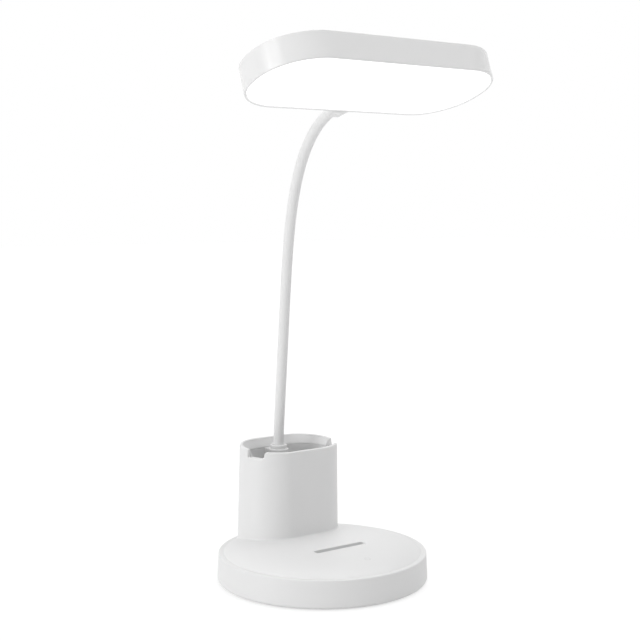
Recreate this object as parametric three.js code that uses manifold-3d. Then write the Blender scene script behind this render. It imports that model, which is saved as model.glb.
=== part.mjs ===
// Desk lamp with a pen cup, a flexible neck and a wide flat head.
// Millimetres, +Z up, +X to the right, +Y to the back. The origin is the middle of the footprint.
import * as THREE from 'three';
import { mergeVertices } from 'three/addons/utils/BufferGeometryUtils.js';
import Module from 'manifold-3d';

const wasm = await Module();
wasm.setup();

// Shared values
const fitGap = 0.3;
const overrun = 2;
const weldDistance = 0.0001;
const quarterTurn = Math.PI / 2;
const halfTurn = Math.PI;
const fullTurn = Math.PI * 2;

// Base housing: a low drum with a pillow-shaped top
const baseRadius = 65;
const baseDraft = 0.7;
const baseWallHeight = 17.8;
const baseRimLift = 0.6;
const baseFootRound = 2.2;
const shoulderRound = 0.9;
const ledgeWidth = 2.4;
const ledgeRise = 0.4;
const domeRise = 5.4;
const domePower = 5;
const domeFlankPower = 0.9;
const housingWall = 2.2;
const baseSides = 60;
const domeSteps = 8;
const domeUnderSteps = 4;

// Pen cup, moulded in one with the base housing
const cupHalfLength = 33.1;
const cupHalfDepth = 22.3;
const cupEndFlat = 0.7;
const cupSetback = 5;
const cupRimHeight = 79.1;
const cupDraft = 1.05;
const cupWall = 2.2;
const cupRimRound = 0.8;
const cupFloorHeight = 24;
const cupCornerSteps = 7;
const notchWidth = 11.6;
const notchDepth = 5;
const notchOffset = 8;
const notchFrontRound = 2.4;
const notchBackRound = 0.6;

// Phone groove in front of the cup
const grooveLength = 37.8;
const grooveWidth = 5;
const grooveRound = 1.2;
const grooveDepth = 7;
const groovePlaceShare = 0.42164;

// Touch spot in front of the groove
const touchPlaceShare = 0.56989;
const touchPadRadius = 5.5;
const touchPadThickness = 0.5;
const touchBossRadius = 7;
const touchBossDrop = 0.1;
const touchSpringRadius = 3;
const touchSpringTopRadius = 2.2;
const touchSpringWall = 0.8;

// Screw posts under the base top
const postInset = 12.1;
const postRadius = 3.4;
const postBoreRadius = 1.6;
const postBoreSpare = 1.8;
const postCount = 4;

// Bottom cover and its soft pad
const padInset = 4.8;
const padThickness = 1.2;
const padEdge = 0.4;
const coverThickness = 2.4;
const screwHeadRadius = 2.4;
const screwHeadHeight = 1.3;
const screwShankRadius = 1.2;
const screwLength = 7.6;
const screwSides = 12;

// Steel weight
const weightGap = 1.6;
const weightThickness = 3.6;
const weightBoardGap = 8.5;

// Battery
const batteryLength = 50;
const batteryWidth = 33;
const batteryHeadroom = 1.8;
const batteryRound = 3;
const batteryGap = 2.1;

// Boards and the charging socket
const boardThickness = 1.2;
const boardRound = 1.5;
const boardPostRadius = 2;
const controlBoardWidth = 34;
const controlBoardDepth = 22;
const controlBoardGap = 3.1;
const controlPostInset = 4;
const controlPostSetback = 5;
const chargeBoardWidth = 21;
const chargeBoardDepth = 15;
const chargePostInset = 3.5;
const chargePostSetback = 6.1;
const socketWidth = 8.9;
const socketHeight = 3.3;
const socketLength = 7.3;
const socketEndFlat = 0.05;
const socketWall = 0.35;
const socketCentreHeight = 10.4;
const socketSetback = 1.1;
const socketTongueGap = 0.8;
const socketTongueHeight = 0.8;
const socketBackDepth = 1.75;

// Cup liner with the neck pillar
const linerDepthBelowRim = 5;
const linerWall = 1.8;
const linerFloor = 1.6;
const pillarWall = 2.1;

// Neck socket in the pillar
const neckBackGap = 2.1;
const ferruleWall = 1.4;
const ferruleClearance = 0.7;
const ferruleTopDrop = 4;
const ferruleBelowNut = 2.9;
const ferruleSides = 20;
const washerRim = 4;
const washerThickness = 1;
const nutWall = 3;
const nutHeight = 4.5;
const collarHeight = 2.6;
const collarWall = 1.8;
const collarEdge = 0.8;

// Flexible neck: a lean, then a curl that tightens towards the head
const neckRadius = 3.3;
const sleeveWall = 1.1;
const neckLength = 229;
const neckLeanRun = 20;
const neckStraightRun = 70;
const neckLeanAngle = THREE.MathUtils.degToRad(5.05);
const neckCurlPower = 3.3;
const neckFirstJoint = 14;
const neckEndRun = 22.5;
const neckJointCount = 8;
const neckJointBend = THREE.MathUtils.degToRad(22);
const neckSides = 16;
const coreSides = 10;
const neckRings = 5;
const neckBoreRings = 3;
const neckSamples = 320;

// Head
const headTilt = THREE.MathUtils.degToRad(19.8);
const headHalfLength = 81.2;
const headHalfDepth = 32.7;
const headEndFlat = 1.8;
const headHeight = 16;
const headWall = 2.4;
const headTopWall = 1.8;
const headTopRound = 0.7;
const headLipRound = 0.5;
const headCornerSteps = 8;
const headBelowNeck = 3.9;
const diffuserRim = 1.3;
const diffuserThickness = 1.8;
const diffuserInset = 0.4;

// Connector between the neck and the head
const connectorLength = 8.6;
const connectorHalfWidth = 5.6;
const connectorFlare = 1.4;
const connectorTop = 4.1;
const connectorFlareTop = 6.4;
const connectorRound = 1.8;
const tongueLength = 18;
const tongueHalfWidth = 5;
const tongueThickness = 5.2;
const tongueScrewRoom = 0.5;
const tipStep = 0.3;
const tipLength = 7;
const tipClearance = 0.3;

// Light panel in the head
const panelEndInset = 15.2;
const panelSideInset = 9.7;
const panelEndFlat = 5;
const panelThickness = 1.2;
const panelPostHeight = 2;
const panelPostRadius = 2.6;
const panelColumns = 9;
const panelRows = 3;
const chipSize = 2.8;
const chipHeight = 0.7;
const chipEndMargin = 11.6;
const chipSideMargin = 9;
const smallHeadRadius = 2;
const smallHeadHeight = 1.1;
const smallShankRadius = 0.9;
const smallScrewLength = 2.6;
const smallBoreRadius = 1.2;
const tongueScrewInset = 6;
const tongueScrewX = 2.8;

// What follows from the sizes above: the base and what it carries
const baseTopRadius = baseRadius - baseDraft;
const cupCorner = cupHalfDepth - cupEndFlat;
const cupCentreY = baseRadius - cupSetback - cupHalfDepth;
const cupFrontY = cupCentreY - cupHalfDepth;
const grooveCentreY = cupFrontY - (cupFrontY + baseRadius) * groovePlaceShare;
const touchCentreY = grooveCentreY - (grooveCentreY + baseRadius) * touchPlaceShare;
const coverBottom = padThickness;
const coverTop = coverBottom + coverThickness;
const weightTop = coverTop + weightThickness;
const domeRadius = baseTopRadius - shoulderRound - ledgeWidth;
const domeFoot = baseWallHeight + ledgeRise;
const innerWallRadius = baseTopRadius - housingWall;
const underFoot = domeFoot - housingWall;
const underRadius = domeRadius - housingWall;
const batteryThickness = underFoot - weightTop - batteryHeadroom;
const coverRadius = innerWallRadius - fitGap;
const padRadius = coverRadius - padInset;
const postRing = innerWallRadius - postInset;
const postBoreDepth = screwLength - coverThickness + postBoreSpare;
const linerTop = cupRimHeight - linerDepthBelowRim;
const floorUnderside = cupFloorHeight - housingWall;
const grooveBottom = domeFoot + domeRise - grooveDepth;
const boardBottom = socketCentreHeight - socketHeight / 2 - boardThickness;
const boardTop = boardBottom + boardThickness;
const ferruleTop = linerTop - ferruleTopDrop;
const nutBottom = floorUnderside - washerThickness - nutHeight;
const ferruleBottomHeight = nutBottom - ferruleBelowNut;

// The neck's and its socket's radii, from the inside outwards
const neckBoreRadius = neckRadius - sleeveWall;
const coreRadius = neckBoreRadius - fitGap;
const tipRadius = coreRadius - tipStep;
const collarRadius = neckRadius + fitGap + collarWall;
const ferruleBoreRadius = coreRadius + ferruleClearance;
const ferruleRadius = ferruleBoreRadius + ferruleWall;
const pillarRadius = ferruleRadius + fitGap + pillarWall;
const washerRadius = ferruleRadius + washerRim;
const neckRootY = cupCentreY + cupHalfDepth - cupWall - washerRadius - neckBackGap;
const nutAcrossFlats = (ferruleRadius + nutWall) * 2;

// Boards, weight and battery: each lies against its neighbour
const boardFrontY = -Math.sqrt((innerWallRadius - controlBoardGap) ** 2 - (controlBoardWidth / 2) ** 2);
const controlBoardCentreY = boardFrontY + controlBoardDepth / 2;
const controlPostX = controlBoardWidth / 2 - controlPostInset;
const controlPostY = boardFrontY + controlPostSetback;
const weightRadius = postRing - postRadius - weightGap;
const weightFrontY = boardFrontY + controlBoardDepth + weightBoardGap;
const batteryCentreY = grooveCentreY + grooveWidth / 2 + housingWall + batteryGap + batteryWidth / 2;
const chargeBoardBackY = Math.sqrt((innerWallRadius - fitGap) ** 2 - (chargeBoardWidth / 2) ** 2);
const chargePostX = chargeBoardWidth / 2 - chargePostInset;
const chargePostY = chargeBoardBackY - chargeBoardDepth + chargePostSetback;
const socketRound = socketHeight / 2 - socketEndFlat;
const socketTongueWidth = (socketWidth / 2 - socketWall - socketTongueGap) * 2;
const socketTongueLength = socketLength - socketBackDepth - socketWall;

// Materials
const colour = (hex, roughness, metalness = 0) =>
  new THREE.MeshStandardMaterial({ color: hex, roughness, metalness });
const satinWhite = colour(0xe9e9e9, 0.42);
const glossWhite = colour(0xececec, 0.22);
const softWhite = colour(0xe6e6e4, 0.62);
const glowWhite = colour(0xffffff, 0.35);
const padGrey = colour(0xbdbdbb, 0.85);
const steel = colour(0x8f9296, 0.38, 1);
const copper = colour(0xb87945, 0.35, 1);
const boardGreen = colour(0x2d6a45, 0.5);
const panelWhite = colour(0xf2f2ee, 0.5);
const cellGrey = colour(0xa9adb3, 0.45);

// Solids
function plainGeometry(positions, indices) {
  const geometry = new THREE.BufferGeometry();
  geometry.setAttribute('position', new THREE.Float32BufferAttribute(positions, 3));
  geometry.setIndex(indices);
  return geometry;
}

function signedVolume(positions, triangles) {
  const corner = [new THREE.Vector3(), new THREE.Vector3(), new THREE.Vector3()];
  let volume = 0;
  for (let i = 0; i < triangles.length; i += 3) {
    corner.forEach((point, k) => point.fromArray(positions, triangles[i + k] * 3));
    volume += corner[0].dot(corner[1].cross(corner[2]));
  }
  return volume;
}

function solidOf(geometry) {
  geometry.deleteAttribute('normal');
  geometry.deleteAttribute('uv');
  const merged = mergeVertices(geometry, weldDistance);
  const positions = merged.attributes.position.array;
  const triangles = [];
  const index = merged.index.array;
  for (let i = 0; i < index.length; i += 3) {
    const [a, b, c] = [index[i], index[i + 1], index[i + 2]];
    if (a !== b && b !== c && c !== a) triangles.push(a, b, c);
  }
  if (signedVolume(positions, triangles) < 0) triangles.reverse();
  return new wasm.Manifold(new wasm.Mesh({
    numProp: 3,
    vertProperties: Float32Array.from(positions),
    triVerts: Uint32Array.from(triangles),
  }));
}

function meshOf(name, solid, material) {
  const { vertProperties, triVerts } = solid.getMesh();
  const geometry = plainGeometry(Array.from(vertProperties), Array.from(triVerts));
  geometry.computeVertexNormals();
  const mesh = new THREE.Mesh(geometry, material);
  mesh.name = name;
  return mesh;
}

const union = (solids) => solids.reduce((all, next) => all.add(next));

// Outlines
function arc(centreX, centreY, radius, from, to, steps) {
  return Array.from({ length: steps + 1 }, (_, k) => {
    const angle = from + (to - from) * k / steps;
    return new THREE.Vector2(centreX + radius * Math.cos(angle), centreY + radius * Math.sin(angle));
  });
}

function roundedOutline(halfX, halfY, corner, steps) {
  const x = halfX - corner;
  const y = halfY - corner;
  return [
    ...arc(x, y, corner, 0, quarterTurn, steps),
    ...arc(-x, y, corner, quarterTurn, halfTurn, steps),
    ...arc(-x, -y, corner, halfTurn, halfTurn + quarterTurn, steps),
    ...arc(x, -y, corner, halfTurn + quarterTurn, fullTurn, steps),
  ];
}

// A closed body through rings that have as many points each, with a flat face at both ends
function loft(rings) {
  const count = rings[0].length;
  const positions = rings.flatMap((ring) => ring.flatMap((point) => point.toArray()));
  const indices = [];
  for (let level = 0; level + 1 < rings.length; level += 1) {
    for (let k = 0; k < count; k += 1) {
      const a = level * count + k;
      const b = level * count + (k + 1) % count;
      indices.push(a, b, b + count, a, b + count, a + count);
    }
  }
  const last = (rings.length - 1) * count;
  for (let k = 1; k + 1 < count; k += 1) {
    indices.push(0, k + 1, k);
    indices.push(last, last + k, last + k + 1);
  }
  return solidOf(plainGeometry(positions, indices));
}

// A rounded block whose outline shrinks by an inset at each level
function roundedStack(halfX, halfY, corner, steps, levels) {
  return loft(levels.map(({ inset, z }) =>
    roundedOutline(halfX - inset, halfY - inset, corner - inset, steps)
      .map((point) => new THREE.Vector3(point.x, point.y, z))));
}

function roundedBlock(halfX, halfY, corner, steps, bottom, top) {
  return roundedStack(halfX, halfY, corner, steps, [{ inset: 0, z: bottom }, { inset: 0, z: top }]);
}

// A turned body about the Z axis, from profile points of radius and height
function turned(points, sides) {
  const geometry = new THREE.LatheGeometry(points, sides);
  geometry.rotateX(quarterTurn);
  return solidOf(geometry);
}

function disc(radius, bottom, top, sides) {
  return turned([
    new THREE.Vector2(0, bottom),
    new THREE.Vector2(radius, bottom),
    new THREE.Vector2(radius, top),
    new THREE.Vector2(0, top),
  ], sides);
}

function screw(headRadius, headHeight, shankRadius, length) {
  const edge = headHeight / 3;
  return turned([
    new THREE.Vector2(0, 0),
    new THREE.Vector2(headRadius - edge, 0),
    new THREE.Vector2(headRadius, edge),
    new THREE.Vector2(headRadius, headHeight),
    new THREE.Vector2(shankRadius, headHeight),
    new THREE.Vector2(shankRadius, length - shankRadius),
    new THREE.Vector2(0, length),
  ], screwSides);
}

const postAngles = Array.from({ length: postCount }, (_, k) => fullTurn * (k + 0.5) / postCount);
const postPlaces = postAngles.map((angle) => [postRing * Math.cos(angle), postRing * Math.sin(angle)]);

function domeHeight(radius, edgeRadius, foot) {
  return foot + domeRise * (1 - (radius / edgeRadius) ** domePower) ** domeFlankPower;
}

function domeProfile(edgeRadius, foot, steps) {
  return Array.from({ length: steps + 1 }, (_, k) => {
    const radius = k === steps ? 0 : edgeRadius * Math.cos(quarterTurn * k / steps);
    return new THREE.Vector2(radius, domeHeight(radius, edgeRadius, foot));
  });
}

function baseShell() {
  const outer = [
    ...arc(baseRadius - baseFootRound, baseRimLift + baseFootRound, baseFootRound, -quarterTurn, 0, 3),
    ...arc(baseTopRadius - shoulderRound, baseWallHeight - shoulderRound, shoulderRound, 0, quarterTurn, 3),
    ...domeProfile(domeRadius, domeFoot, domeSteps),
  ];
  const inner = [
    new THREE.Vector2(innerWallRadius, baseRimLift),
    new THREE.Vector2(innerWallRadius, underFoot),
    ...domeProfile(underRadius, underFoot, domeUnderSteps),
  ];
  return turned([...inner.reverse(), ...outer], baseSides);
}

function cupBlock() {
  const skirt = underFoot;
  const top = cupRimHeight - cupRimRound;
  const levels = [{ inset: -cupDraft, z: skirt }];
  arc(cupRimRound, top, cupRimRound, halfTurn, quarterTurn, 3)
    .forEach((point) => levels.push({ inset: point.x, z: point.y }));
  return roundedStack(cupHalfLength, cupHalfDepth, cupCorner, cupCornerSteps, levels)
    .translate([0, cupCentreY, 0]);
}

function cupHollow() {
  return roundedBlock(cupHalfLength - cupWall, cupHalfDepth - cupWall, cupCorner - cupWall,
    cupCornerSteps, cupFloorHeight, cupRimHeight + overrun).translate([0, cupCentreY, 0]);
}

// Finger notch through both ends of the rim: its front side is a soft S, its back side is upright
function notchCut() {
  const floor = cupRimHeight - notchDepth;
  const half = notchWidth / 2;
  const [front, back] = [notchFrontRound, notchBackRound];
  const outline = new THREE.Shape([
    new THREE.Vector2(-half - front, cupRimHeight + overrun),
    ...arc(-half - front, cupRimHeight - front, front, quarterTurn, 0, 4),
    ...arc(-half + front, floor + front, front, halfTurn, halfTurn + quarterTurn, 4),
    ...arc(half - back, floor + back, back, -quarterTurn, 0, 2),
    ...arc(half + back, cupRimHeight - back, back, halfTurn, quarterTurn, 2),
    new THREE.Vector2(half + back, cupRimHeight + overrun),
  ]);
  const reach = cupHalfLength + overrun;
  const geometry = new THREE.ExtrudeGeometry(outline, { depth: reach * 2, bevelEnabled: false });
  geometry.rotateX(quarterTurn);
  geometry.rotateZ(quarterTurn);
  geometry.translate(-reach, cupCentreY - notchOffset, 0);
  return solidOf(geometry);
}

function grooveCut(grow, bottom, top) {
  return roundedBlock(grooveLength / 2 + grow, grooveWidth / 2 + grow, grooveRound + grow,
    4, bottom, top).translate([0, grooveCentreY, 0]);
}

function chargeHole() {
  const halfWidth = socketWidth / 2 + fitGap;
  const halfHeight = socketHeight / 2 + fitGap;
  return roundedBlock(halfWidth, halfHeight, halfHeight - fitGap / 2, 4, 0, baseRadius)
    .rotate([-90, 0, 0])
    .translate([0, 0, socketCentreHeight]);
}

function baseHousing() {
  const drum = baseShell();
  const pocketReach = Math.hypot(grooveLength / 2 + housingWall, grooveWidth / 2 + housingWall - grooveCentreY);
  const pocketTop = domeHeight(pocketReach, domeRadius, domeFoot) - fitGap;
  const groovePocket = grooveCut(housingWall, grooveBottom - housingWall, pocketTop);
  const touchTop = domeHeight(-touchCentreY, domeRadius, domeFoot);
  const touchBoss = disc(touchBossRadius, touchBossBottom(), touchTop - housingWall / 2, ferruleSides)
    .translate([0, touchCentreY, 0]);
  const postTop = domeHeight(postRing + postRadius, domeRadius, domeFoot) - housingWall / 4;
  const posts = postPlaces.map(([x, y]) =>
    disc(postRadius, coverTop, postTop, ferruleSides).translate([x, y, 0]));
  const pocket = roundedBlock(cupHalfLength - cupWall, cupHalfDepth - cupWall, cupCorner - cupWall,
    cupCornerSteps, coverTop, floorUnderside).translate([0, cupCentreY, 0]);
  const bores = postPlaces.map(([x, y]) =>
    disc(postBoreRadius, coverTop - overrun, coverTop + postBoreDepth, screwSides).translate([x, y, 0]));
  const neckHole = disc(ferruleRadius + fitGap, 0, cupRimHeight, ferruleSides)
    .translate([0, neckRootY, 0]);
  return union([drum, cupBlock()])
    .subtract(pocket)
    .add(union([groovePocket, touchBoss, ...posts]))
    .subtract(union([
      cupHollow(),
      notchCut(),
      grooveCut(0, grooveBottom, domeFoot + domeRise + overrun),
      chargeHole(),
      neckHole,
      ...bores,
    ]));
}

// The boss ends just below the lowest place where it meets the underside of the dome
function touchBossBottom() {
  return domeHeight(touchBossRadius - touchCentreY, underRadius, underFoot) - touchBossDrop;
}

function bottomCover() {
  const plate = disc(coverRadius, coverBottom, coverTop, baseSides);
  const posts = [
    [-controlPostX, controlPostY], [controlPostX, controlPostY],
    [-chargePostX, chargePostY], [chargePostX, chargePostY],
  ].map(([x, y]) => disc(boardPostRadius, coverTop - coverThickness / 2, boardBottom, screwSides)
    .translate([x, y, 0]));
  const holes = postPlaces.flatMap(([x, y]) => [
    disc(screwHeadRadius + fitGap, coverBottom - overrun, coverBottom + screwHeadHeight, screwSides),
    disc(screwShankRadius + fitGap, coverBottom, coverTop + overrun, screwSides),
  ].map((hole) => hole.translate([x, y, 0])));
  return union([plate, ...posts]).subtract(union(holes));
}

function antiSlipPad() {
  return turned([
    new THREE.Vector2(0, 0),
    new THREE.Vector2(padRadius - padEdge, 0),
    new THREE.Vector2(padRadius, padEdge),
    new THREE.Vector2(padRadius, padThickness),
    new THREE.Vector2(0, padThickness),
  ], baseSides);
}

// A disc with a straight front edge, which leaves room for the control board
function counterweight() {
  const reach = Math.acos(weightFrontY / weightRadius);
  const outline = new THREE.Shape(arc(0, 0, weightRadius, quarterTurn - reach, quarterTurn + reach, 40));
  const geometry = new THREE.ExtrudeGeometry(outline, { depth: weightThickness, bevelEnabled: false });
  geometry.translate(0, 0, coverTop);
  return solidOf(geometry);
}

function battery() {
  const edge = batteryRound / 3;
  return roundedStack(batteryLength / 2, batteryWidth / 2, batteryRound, 3, [
    { inset: edge, z: weightTop },
    { inset: 0, z: weightTop + edge },
    { inset: 0, z: weightTop + batteryThickness - edge },
    { inset: edge, z: weightTop + batteryThickness },
  ]).translate([0, batteryCentreY, 0]);
}

function controlBoard() {
  return roundedBlock(controlBoardWidth / 2, controlBoardDepth / 2, boardRound, 2, boardBottom, boardTop)
    .translate([0, controlBoardCentreY, 0]);
}

// Contact spring between the board and the touch pad: a cone of close turns
function touchSpring() {
  const top = touchBossBottom() - touchPadThickness;
  return turned([
    new THREE.Vector2(touchSpringRadius - touchSpringWall, boardTop),
    new THREE.Vector2(touchSpringRadius, boardTop),
    new THREE.Vector2(touchSpringTopRadius, top),
    new THREE.Vector2(touchSpringTopRadius - touchSpringWall, top),
    new THREE.Vector2(touchSpringRadius - touchSpringWall, boardTop),
  ], screwSides).translate([0, touchCentreY, 0]);
}

function touchPad() {
  const top = touchBossBottom();
  return disc(touchPadRadius, top - touchPadThickness, top, ferruleSides)
    .translate([0, touchCentreY, 0]);
}

const socketMouthY = baseTopRadius - socketSetback;

function chargeBoard() {
  return roundedBlock(chargeBoardWidth / 2, chargeBoardDepth / 2, boardRound, 2, boardBottom, boardTop)
    .translate([0, chargeBoardBackY - chargeBoardDepth / 2, 0]);
}

// Charging socket: a metal sleeve, closed behind, with a contact tongue
function chargeSocket() {
  const halfWidth = socketWidth / 2;
  const halfHeight = socketHeight / 2;
  const sleeve = roundedBlock(halfWidth, halfHeight, socketRound, 4, 0, socketLength);
  const hollow = roundedBlock(halfWidth - socketWall, halfHeight - socketWall, socketRound - socketWall,
    4, socketLength - socketTongueLength - socketWall, socketLength + overrun);
  const tongue = roundedBlock(socketTongueWidth / 2, socketTongueHeight / 2, socketTongueHeight / 3,
    1, socketWall, socketWall + socketTongueLength + socketTongueHeight);
  return sleeve.subtract(hollow).add(tongue)
    .rotate([-90, 0, 0])
    .translate([0, socketMouthY - socketLength, socketCentreHeight]);
}

function cupLiner() {
  const grow = cupWall + fitGap;
  const tub = roundedBlock(cupHalfLength - grow, cupHalfDepth - grow, cupCorner - grow,
    cupCornerSteps, cupFloorHeight, linerTop).translate([0, cupCentreY, 0]);
  const inset = grow + linerWall;
  const hollow = roundedBlock(cupHalfLength - inset, cupHalfDepth - inset, cupCorner - inset,
    cupCornerSteps, cupFloorHeight + linerFloor, linerTop + overrun).translate([0, cupCentreY, 0]);
  const backY = cupCentreY + cupHalfDepth - grow - linerWall / 2;
  const pillar = disc(pillarRadius, cupFloorHeight, linerTop, ferruleSides).translate([0, neckRootY, 0]);
  const webDepth = (backY - neckRootY) / 2;
  const web = solidOf(new THREE.BoxGeometry(pillarRadius * 2, webDepth * 2, linerTop - cupFloorHeight))
    .translate([0, neckRootY + webDepth, (linerTop + cupFloorHeight) / 2]);
  const bore = disc(ferruleRadius + fitGap, 0, cupRimHeight, ferruleSides).translate([0, neckRootY, 0]);
  return tub.subtract(hollow).add(union([pillar, web])).subtract(bore);
}

function neckCollar() {
  const bore = neckRadius + fitGap;
  return turned([
    new THREE.Vector2(bore, linerTop),
    new THREE.Vector2(collarRadius, linerTop),
    new THREE.Vector2(collarRadius, linerTop + collarHeight - collarEdge),
    new THREE.Vector2(collarRadius - collarEdge, linerTop + collarHeight),
    new THREE.Vector2(bore, linerTop + collarHeight),
    new THREE.Vector2(bore, linerTop),
  ], ferruleSides).translate([0, neckRootY, 0]);
}

function tube(outerRadius, innerRadius, bottom, top) {
  return turned([
    new THREE.Vector2(innerRadius, bottom),
    new THREE.Vector2(outerRadius, bottom),
    new THREE.Vector2(outerRadius, top),
    new THREE.Vector2(innerRadius, top),
    new THREE.Vector2(innerRadius, bottom),
  ], ferruleSides).translate([0, neckRootY, 0]);
}

function neckNut() {
  const hexagon = turned([
    new THREE.Vector2(0, nutBottom),
    new THREE.Vector2(nutAcrossFlats / Math.sqrt(3), nutBottom),
    new THREE.Vector2(nutAcrossFlats / Math.sqrt(3), nutBottom + nutHeight),
    new THREE.Vector2(0, nutBottom + nutHeight),
  ], 6).translate([0, neckRootY, 0]);
  return hexagon.subtract(disc(ferruleRadius + fitGap, 0, cupRimHeight, ferruleSides)
    .translate([0, neckRootY, 0]));
}

// The neck's centre line: its tilt from the vertical is a formula of the length along it
const neckCurlAngle = quarterTurn - headTilt - neckLeanAngle;

function neckTilt(along) {
  const lean = THREE.MathUtils.smoothstep(along, 0, neckLeanRun) * neckLeanAngle;
  const curl = Math.max(0, (along - neckStraightRun) / (neckLength - neckStraightRun));
  return lean + neckCurlAngle * curl ** neckCurlPower;
}

function neckPoint(along) {
  const point = new THREE.Vector3(0, neckRootY, linerTop);
  if (along <= 0) return point.setZ(linerTop + along);
  const step = along / neckSamples;
  for (let k = 0; k < neckSamples; k += 1) {
    const tilt = neckTilt((k + 0.5) * step);
    point.y -= step * Math.sin(tilt);
    point.z += step * Math.cos(tilt);
  }
  return point;
}

// A body turned about the bent centre line, from profile points of radius and length along it
function turnedAlongNeck(profile, sides, closed) {
  const positions = [];
  profile.forEach(({ radius, along }) => {
    const centre = neckPoint(along);
    const tilt = neckTilt(along);
    for (let k = 0; k < sides; k += 1) {
      const angle = fullTurn * k / sides;
      const across = radius * Math.cos(angle);
      const behind = radius * Math.sin(angle);
      positions.push(across, centre.y + behind * Math.cos(tilt), centre.z + behind * Math.sin(tilt));
    }
  });
  const indices = [];
  const levels = closed ? profile.length : profile.length - 1;
  for (let level = 0; level < levels; level += 1) {
    const next = (level + 1) % profile.length;
    for (let k = 0; k < sides; k += 1) {
      const a = level * sides + k;
      const b = level * sides + (k + 1) % sides;
      const c = next * sides + (k + 1) % sides;
      const d = next * sides + k;
      indices.push(a, b, c, a, c, d);
    }
  }
  return solidOf(plainGeometry(positions, indices));
}

const neckJointPitch = (neckLength - neckFirstJoint - neckEndRun) / (neckJointCount - 1);
const jointPlaces = Array.from({ length: neckJointCount }, (_, k) => neckFirstJoint + k * neckJointPitch);

// Both ends of a link back off from the joint by a shallow cone, which leaves room for the bend
const coneDepth = (radius) => radius * Math.tan(neckJointBend / 2);

function runAlong(radius, steps, from, to, startCone, endCone) {
  const start = from + (startCone ? coneDepth(radius) : 0);
  const end = to - (endCone ? coneDepth(radius) : 0);
  return Array.from({ length: steps + 1 }, (_, k) => (
    { radius, along: start + (end - start) * k / steps }));
}

function neckSleeve(from, to, startCone, endCone) {
  return turnedAlongNeck([
    ...runAlong(neckRadius, neckRings, from, to, startCone, endCone),
    ...runAlong(neckBoreRadius, neckBoreRings, from, to, startCone, endCone).reverse(),
  ], neckSides, true);
}

function neckCore(from, to, startCone, endCone) {
  return turnedAlongNeck([
    { radius: 0, along: from },
    ...runAlong(coreRadius, neckBoreRings, from, to, startCone, endCone),
    { radius: 0, along: to },
  ], coreSides, false);
}

function neckLinks() {
  const links = [];
  for (let k = 0; k <= neckJointCount; k += 1) {
    const first = k === 0;
    const last = k === neckJointCount;
    const to = last ? neckLength - fitGap : jointPlaces[k] - fitGap / 2;
    const sleeveFrom = first ? fitGap - ferruleTopDrop : jointPlaces[k - 1] + fitGap / 2;
    const coreFrom = first ? -ferruleTopDrop * 3 : sleeveFrom;
    const name = first ? 'root' : last ? 'tip' : String(k);
    links.push(meshOf(`neck_sleeve_${name}`, neckSleeve(sleeveFrom, to, !first, !last), softWhite));
    links.push(meshOf(`neck_core_${name}`, neckCore(coreFrom, to, !first, !last), steel));
  }
  return links;
}

// Head, in its own frame: the origin is the end of the neck, and +Y points back along the neck
const headCorner = headHalfDepth - headEndFlat;
const headBottom = -headBelowNeck;
const headTop = headBottom + headHeight;
const headCentreY = -connectorLength - headHalfDepth;
const ceiling = headTop - headTopWall;
const diffuserBottom = headBottom + diffuserInset;
const diffuserTop = diffuserBottom + diffuserThickness;
const tongueBottom = diffuserTop + tongueScrewRoom + smallHeadHeight + fitGap;
const tongueTop = tongueBottom + tongueThickness;
const panelTop = ceiling - panelPostHeight;
const panelBottom = panelTop - panelThickness;
const panelHalfLength = headHalfLength - panelEndInset;
const panelHalfDepth = headHalfDepth - panelSideInset;
const panelCorner = panelHalfDepth - panelEndFlat;
const chipPitchX = (panelHalfLength - chipEndMargin) * 2 / (panelColumns - 1);
const chipPitchY = (panelHalfDepth - chipSideMargin) * 2 / (panelRows - 1);

// The panel's screws stand in the lanes between its rows of chips
const panelPostX = chipPitchX * (panelColumns - 2) / 2;
const panelPostY = chipPitchY / 2;
const panelPosts = [-1, 1].flatMap((sideX) => [-1, 1].map((sideY) =>
  [sideX * panelPostX, headCentreY + sideY * panelPostY]));
const tongueEndY = -connectorLength - tongueLength;
const tongueScrews = [-1, 1].map((side) => [side * tongueScrewX, tongueEndY + tongueScrewInset]);

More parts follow.
